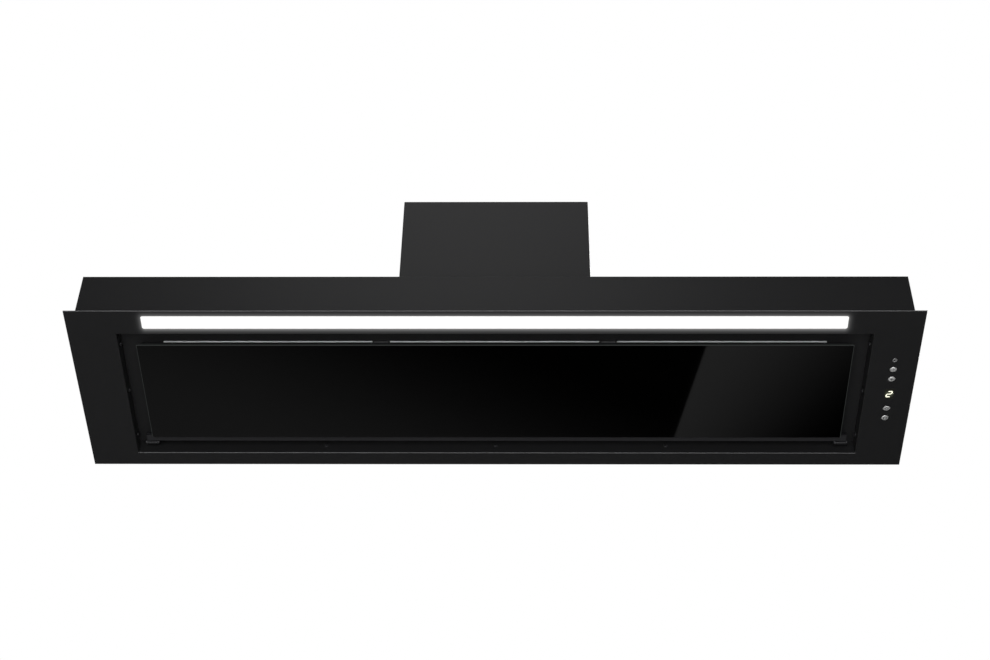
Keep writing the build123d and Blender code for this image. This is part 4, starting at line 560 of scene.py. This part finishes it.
def button_marks(name):
    """The strokes of a button's mark, as seen from below with the front edge up."""
    reach = MARK_REACH
    if name == "slower_button":
        return [((-reach, 0), (reach, 0))]
    if name == "faster_button":
        return [((-reach, 0), (reach, 0)), ((0, -reach), (0, reach))]
    if name == "light_button":
        rays = []
        for number in range(MARK_RAYS):
            angle = 2 * math.pi * number / MARK_RAYS
            along = Vector((math.cos(angle), math.sin(angle))) * reach
            rays.append((along * MARK_RAY_START, along * MARK_RAY_END))
        return rays
    angles = [math.radians(turn) for turn in range(MARK_ARC_GAP, 361 - MARK_ARC_GAP, 20)]
    arc = [Vector((math.sin(angle), math.cos(angle))) * reach for angle in angles]
    return list(zip(arc, arc[1:])) + [((0, reach * MARK_BAR_START), (0, reach * MARK_RAY_END))]


def push_button(name):
    """Silver-lacquered button: turned cap with a low dome, flange and stem, and a darker etched mark."""
    low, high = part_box(name)
    x, y = (low.x + high.x) / 2, (low.y + high.y) / 2
    shape = bmesh.new()
    face = BUTTON_RADIUS - BUTTON_RIM
    profile = [(0, 0)]
    for step in range(1, BUTTON_DOME_STEPS + 1):
        share = step / BUTTON_DOME_STEPS
        profile.append((face * share, BUTTON_DOME * share ** 2))
    profile += [(BUTTON_RADIUS - BUTTON_RIM * BUTTON_KNEE_INSET, BUTTON_DOME + BUTTON_RIM * BUTTON_KNEE_RISE),
                (BUTTON_RADIUS, BUTTON_DOME + BUTTON_RIM), (BUTTON_RADIUS, BUTTON_CAP_HEIGHT),
                (BUTTON_FLANGE_RADIUS, BUTTON_CAP_HEIGHT), (BUTTON_FLANGE_RADIUS, BUTTON_FLANGE_TOP),
                (BUTTON_STEM_RADIUS, BUTTON_FLANGE_TOP), (BUTTON_STEM_RADIUS, BUTTON_STEM_TOP),
                (0, BUTTON_STEM_TOP)]
    turned(shape, profile, (x, y))
    half = MARK_STROKE / 2
    for start, end in button_marks(name):
        start, end = Vector(start), Vector(end)
        along = (end - start).normalized() * half * 0.5
        side = Vector((-along.y, along.x)).normalized() * half
        outline = [start - along - side, end + along - side, end + along + side, start - along + side]
        height = BUTTON_DOME * ((start + end).length / 2 / face) ** 2
        corners = [(x + point.x, y - point.y) for point in outline]
        raised(shape, corners, max(height - MARK_RELIEF, 0), height + BUTTON_DOME / 2, 1)
    coats = [materials["button_metal"], etched_mark]
    return finish_piece(name + "_cap", shape, coats, name, [name])


for name in ("power_button", "light_button", "faster_button", "slower_button"):
    push_button(name)


def digit_segments():
    """Outlines of the lit segments round the digit's own middle, upright."""
    half_x = (DIGIT_WIDTH - DIGIT_STROKE) / 2
    half_y = (DIGIT_HEIGHT - DIGIT_STROKE) / 2
    ends = {
        "a": ((-half_x, half_y), (half_x, half_y)),
        "b": ((half_x, 0), (half_x, half_y)),
        "c": ((half_x, -half_y), (half_x, 0)),
        "d": ((-half_x, -half_y), (half_x, -half_y)),
        "e": ((-half_x, -half_y), (-half_x, 0)),
        "f": ((-half_x, 0), (-half_x, half_y)),
        "g": ((-half_x, 0), (half_x, 0)),
    }
    half = DIGIT_STROKE / 2
    for name in DIGIT_LIT:
        start, end = Vector(ends[name][0]), Vector(ends[name][1])
        along = (end - start).normalized()
        side = Vector((-along.y, along.x)) * half
        start, end = start + along * DIGIT_GAP, end - along * DIGIT_GAP
        yield [start, start + along * half - side, end - along * half - side, end,
               end - along * half + side, start + along * half + side]


def display_digit():
    """The lit digit, leaning right, just behind the face of the display window."""
    low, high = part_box("display_module")
    x, y = (low.x + high.x) / 2, (low.y + high.y) / 2
    lean = math.tan(math.radians(DIGIT_SLANT))
    shape = bmesh.new()
    for outline in digit_segments():
        corners = [(x + point.x + point.y * lean, y - point.y) for point in outline]
        raised(shape, corners, WINDOW_RECESS - DIGIT_DEPTH, WINDOW_RECESS)
    return finish_piece("display_digit", shape, [segment_light], "hood")


def control_windows():
    """Smoked display window and the small round sensor window in its dished bezel."""
    low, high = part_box("control_lenses")
    module_low, module_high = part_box("display_module")
    shape = bmesh.new()
    x = (module_low.x + module_high.x) / 2
    for grow, bottom, top, coat in ((WINDOW_FIT, WINDOW_RECESS, WINDOW_THICKNESS, 2),
                                    (WINDOW_FIT + WINDOW_SHOULDER, WINDOW_THICKNESS,
                                     WINDOW_THICKNESS + WINDOW_SHOULDER, 0)):
        left, right = module_low.x - grow, module_high.x + grow
        front, back = module_low.y - grow, module_high.y + grow
        raised(shape, [(left, front), (right, front), (right, back), (left, back)], bottom, top, coat)
    radius = SENSOR_RADIUS
    centre = (x, low.y + radius + WINDOW_SHOULDER)
    pane = radius - SENSOR_BEZEL
    top = WINDOW_THICKNESS + WINDOW_SHOULDER
    rim = radius + WINDOW_SHOULDER
    pane_profile = [(pane * share, height) for share, height in SENSOR_PANE]
    turned(shape, pane_profile + [(pane, WINDOW_THICKNESS), (0, WINDOW_THICKNESS)], centre)
    ring_profile = [(pane + SENSOR_BEZEL * share, height) for share, height in SENSOR_RING]
    turned(shape, ring_profile + [(radius, WINDOW_THICKNESS), (rim, WINDOW_THICKNESS), (rim, top),
                                  (pane, top), (pane, SENSOR_SINK)], centre, coat=1)
    return finish_piece("control_windows", shape, [materials["dark_lens"], bezel_metal, window_glow], "hood",
                        ["control_lenses"])


display_digit()
control_windows()


def pale_floor():
    """Pale matt floor, lifted towards white for the camera, with the hood's shadow left on it."""
    shape = bmesh.new()
    bmesh.ops.create_grid(shape, x_segments=1, y_segments=1, size=FLOOR_SIZE / 2)
    mesh = bpy.data.meshes.new("studio_floor")
    shape.to_mesh(mesh)
    shape.free()
    floor = bpy.data.objects.new("studio_floor", mesh)
    floor.location = (0, 0, FLOOR_HEIGHT)
    bpy.context.scene.collection.objects.link(floor)
    material, tree, shader = new_material("matt_floor_paint", "#d8d8d6", roughness=0.9)
    white = add_node(tree, "ShaderNodeEmission", values={"Color": (1, 1, 1, 1), "Strength": 1.0})
    ray = add_node(tree, "ShaderNodeLightPath")
    share = add_node(tree, "ShaderNodeMath", {"operation": "MULTIPLY"}, {1: FLOOR_WHITE},
                     {0: ray.outputs["Is Camera Ray"]})
    mix = add_node(tree, "ShaderNodeMixShader",
                   links={0: share.outputs[0], 1: shader.outputs[0], 2: white.outputs[0]})
    tree.links.new(mix.outputs[0], tree.nodes["Material Output"].inputs["Surface"])
    mesh.materials.append(material)


def glow_card(name, corners, levels, way):
    """A card that only reflections see. Its light goes from the first level to the second along one way."""
    shape = bmesh.new()
    shape.faces.new([shape.verts.new(corner) for corner in corners])
    mesh = bpy.data.meshes.new(name)
    shape.to_mesh(mesh)
    shape.free()
    card = bpy.data.objects.new(name, mesh)
    bpy.context.scene.collection.objects.link(card)
    material = bpy.data.materials.new(name + "_paper")
    material.use_nodes = True
    tree = material.node_tree
    tree.nodes.remove(tree.nodes["Principled BSDF"])
    place = add_node(tree, "ShaderNodeTexCoord").outputs["Object"]
    along = add_node(tree, "ShaderNodeVectorMath", {"operation": "DOT_PRODUCT"}, {1: way}, {0: place})
    start, end = levels[0][0], levels[1][0]
    level = add_node(tree, "ShaderNodeMapRange", {"interpolation_type": "SMOOTHSTEP"},
                     {"From Min": start, "From Max": end, "To Min": levels[0][1], "To Max": levels[1][1]},
                     {"Value": along.outputs["Value"]})
    glow = add_node(tree, "ShaderNodeEmission", links={"Strength": level.outputs["Result"]})
    tree.links.new(glow.outputs[0], tree.nodes["Material Output"].inputs["Surface"])
    mesh.materials.append(material)
    for sight in ("visible_camera", "visible_diffuse", "visible_transmission", "visible_shadow"):
        setattr(card, sight, False)


def soft_lamp(name, place, aim, size, power):
    """A rectangular soft box that looks at a point."""
    lamp = bpy.data.lights.new(name, "AREA")
    lamp.shape = "RECTANGLE"
    lamp.size, lamp.size_y = size
    lamp.energy = power
    holder = bpy.data.objects.new(name, lamp)
    holder.location = place
    holder.rotation_euler = (Vector(aim) - Vector(place)).to_track_quat("-Z", "Y").to_euler()
    bpy.context.scene.collection.objects.link(holder)


def studio_world():
    """White to the camera, to metal and to glass, and dimmer to what the object scatters."""
    world = bpy.data.worlds.new("studio_world")
    bpy.context.scene.world = world
    world.use_nodes = True
    tree = world.node_tree
    ray = add_node(tree, "ShaderNodeLightPath")
    seen = add_node(tree, "ShaderNodeMath", {"operation": "MAXIMUM"},
                    links={0: ray.outputs["Is Camera Ray"], 1: ray.outputs["Is Transmission Ray"]})
    seen = add_node(tree, "ShaderNodeMath", {"operation": "MAXIMUM"},
                    links={0: seen.outputs[0], 1: ray.outputs["Is Glossy Ray"]})
    level = add_node(tree, "ShaderNodeMapRange", values={"To Min": WORLD_LEVEL, "To Max": 1.0},
                     links={"Value": seen.outputs[0]})
    back = tree.nodes["Background"]
    back.inputs["Color"].default_value = (1, 1, 1, 1)
    tree.links.new(level.outputs["Result"], back.inputs["Strength"])


pale_floor()
studio_world()

# Cards whose reflections make the slanted light field in the glass
for name, (outline, height, levels, way) in CARDS.items():
    glow_card(name, [(x, y, height) for x, y in outline], levels, way)

# Dim front and ceiling of the room, which keep the satin sheets dark towards the camera
for name, corners in {
    "front_flag": [(-ROOM_HALF, ROOM_FRONT, FLOOR_HEIGHT), (ROOM_HALF, ROOM_FRONT, FLOOR_HEIGHT),
                   (ROOM_HALF, ROOM_FRONT, ROOM_TOP), (-ROOM_HALF, ROOM_FRONT, ROOM_TOP)],
    "top_flag": [(-ROOM_HALF, ROOM_FRONT, ROOM_TOP), (ROOM_HALF, ROOM_FRONT, ROOM_TOP),
                 (ROOM_HALF, 0, ROOM_TOP), (-ROOM_HALF, 0, ROOM_TOP)],
}.items():
    glow_card(name, corners, ((0, WORLD_LEVEL), (1, WORLD_LEVEL)), (1, 0, 0))

for name, (place, aim, size, power) in LAMPS.items():
    soft_lamp(name, place, aim, size, power)

camera_data = bpy.data.cameras.new("camera")
camera_data.lens = CAMERA_LENS
camera_data.sensor_width = 36.0
camera = bpy.data.objects.new("camera", camera_data)
camera.location = CAMERA_PLACE
turn = Matrix.Rotation(math.radians(CAMERA_YAW), 3, "Z")
turn = turn @ Matrix.Rotation(math.radians(CAMERA_TILT), 3, "X")
turn = turn @ Matrix.Rotation(math.radians(CAMERA_ROLL), 3, "Z")
camera.rotation_euler = turn.to_euler()
bpy.context.scene.collection.objects.link(camera)
bpy.context.scene.camera = camera
bpy.context.scene.view_settings.view_transform = "Standard"
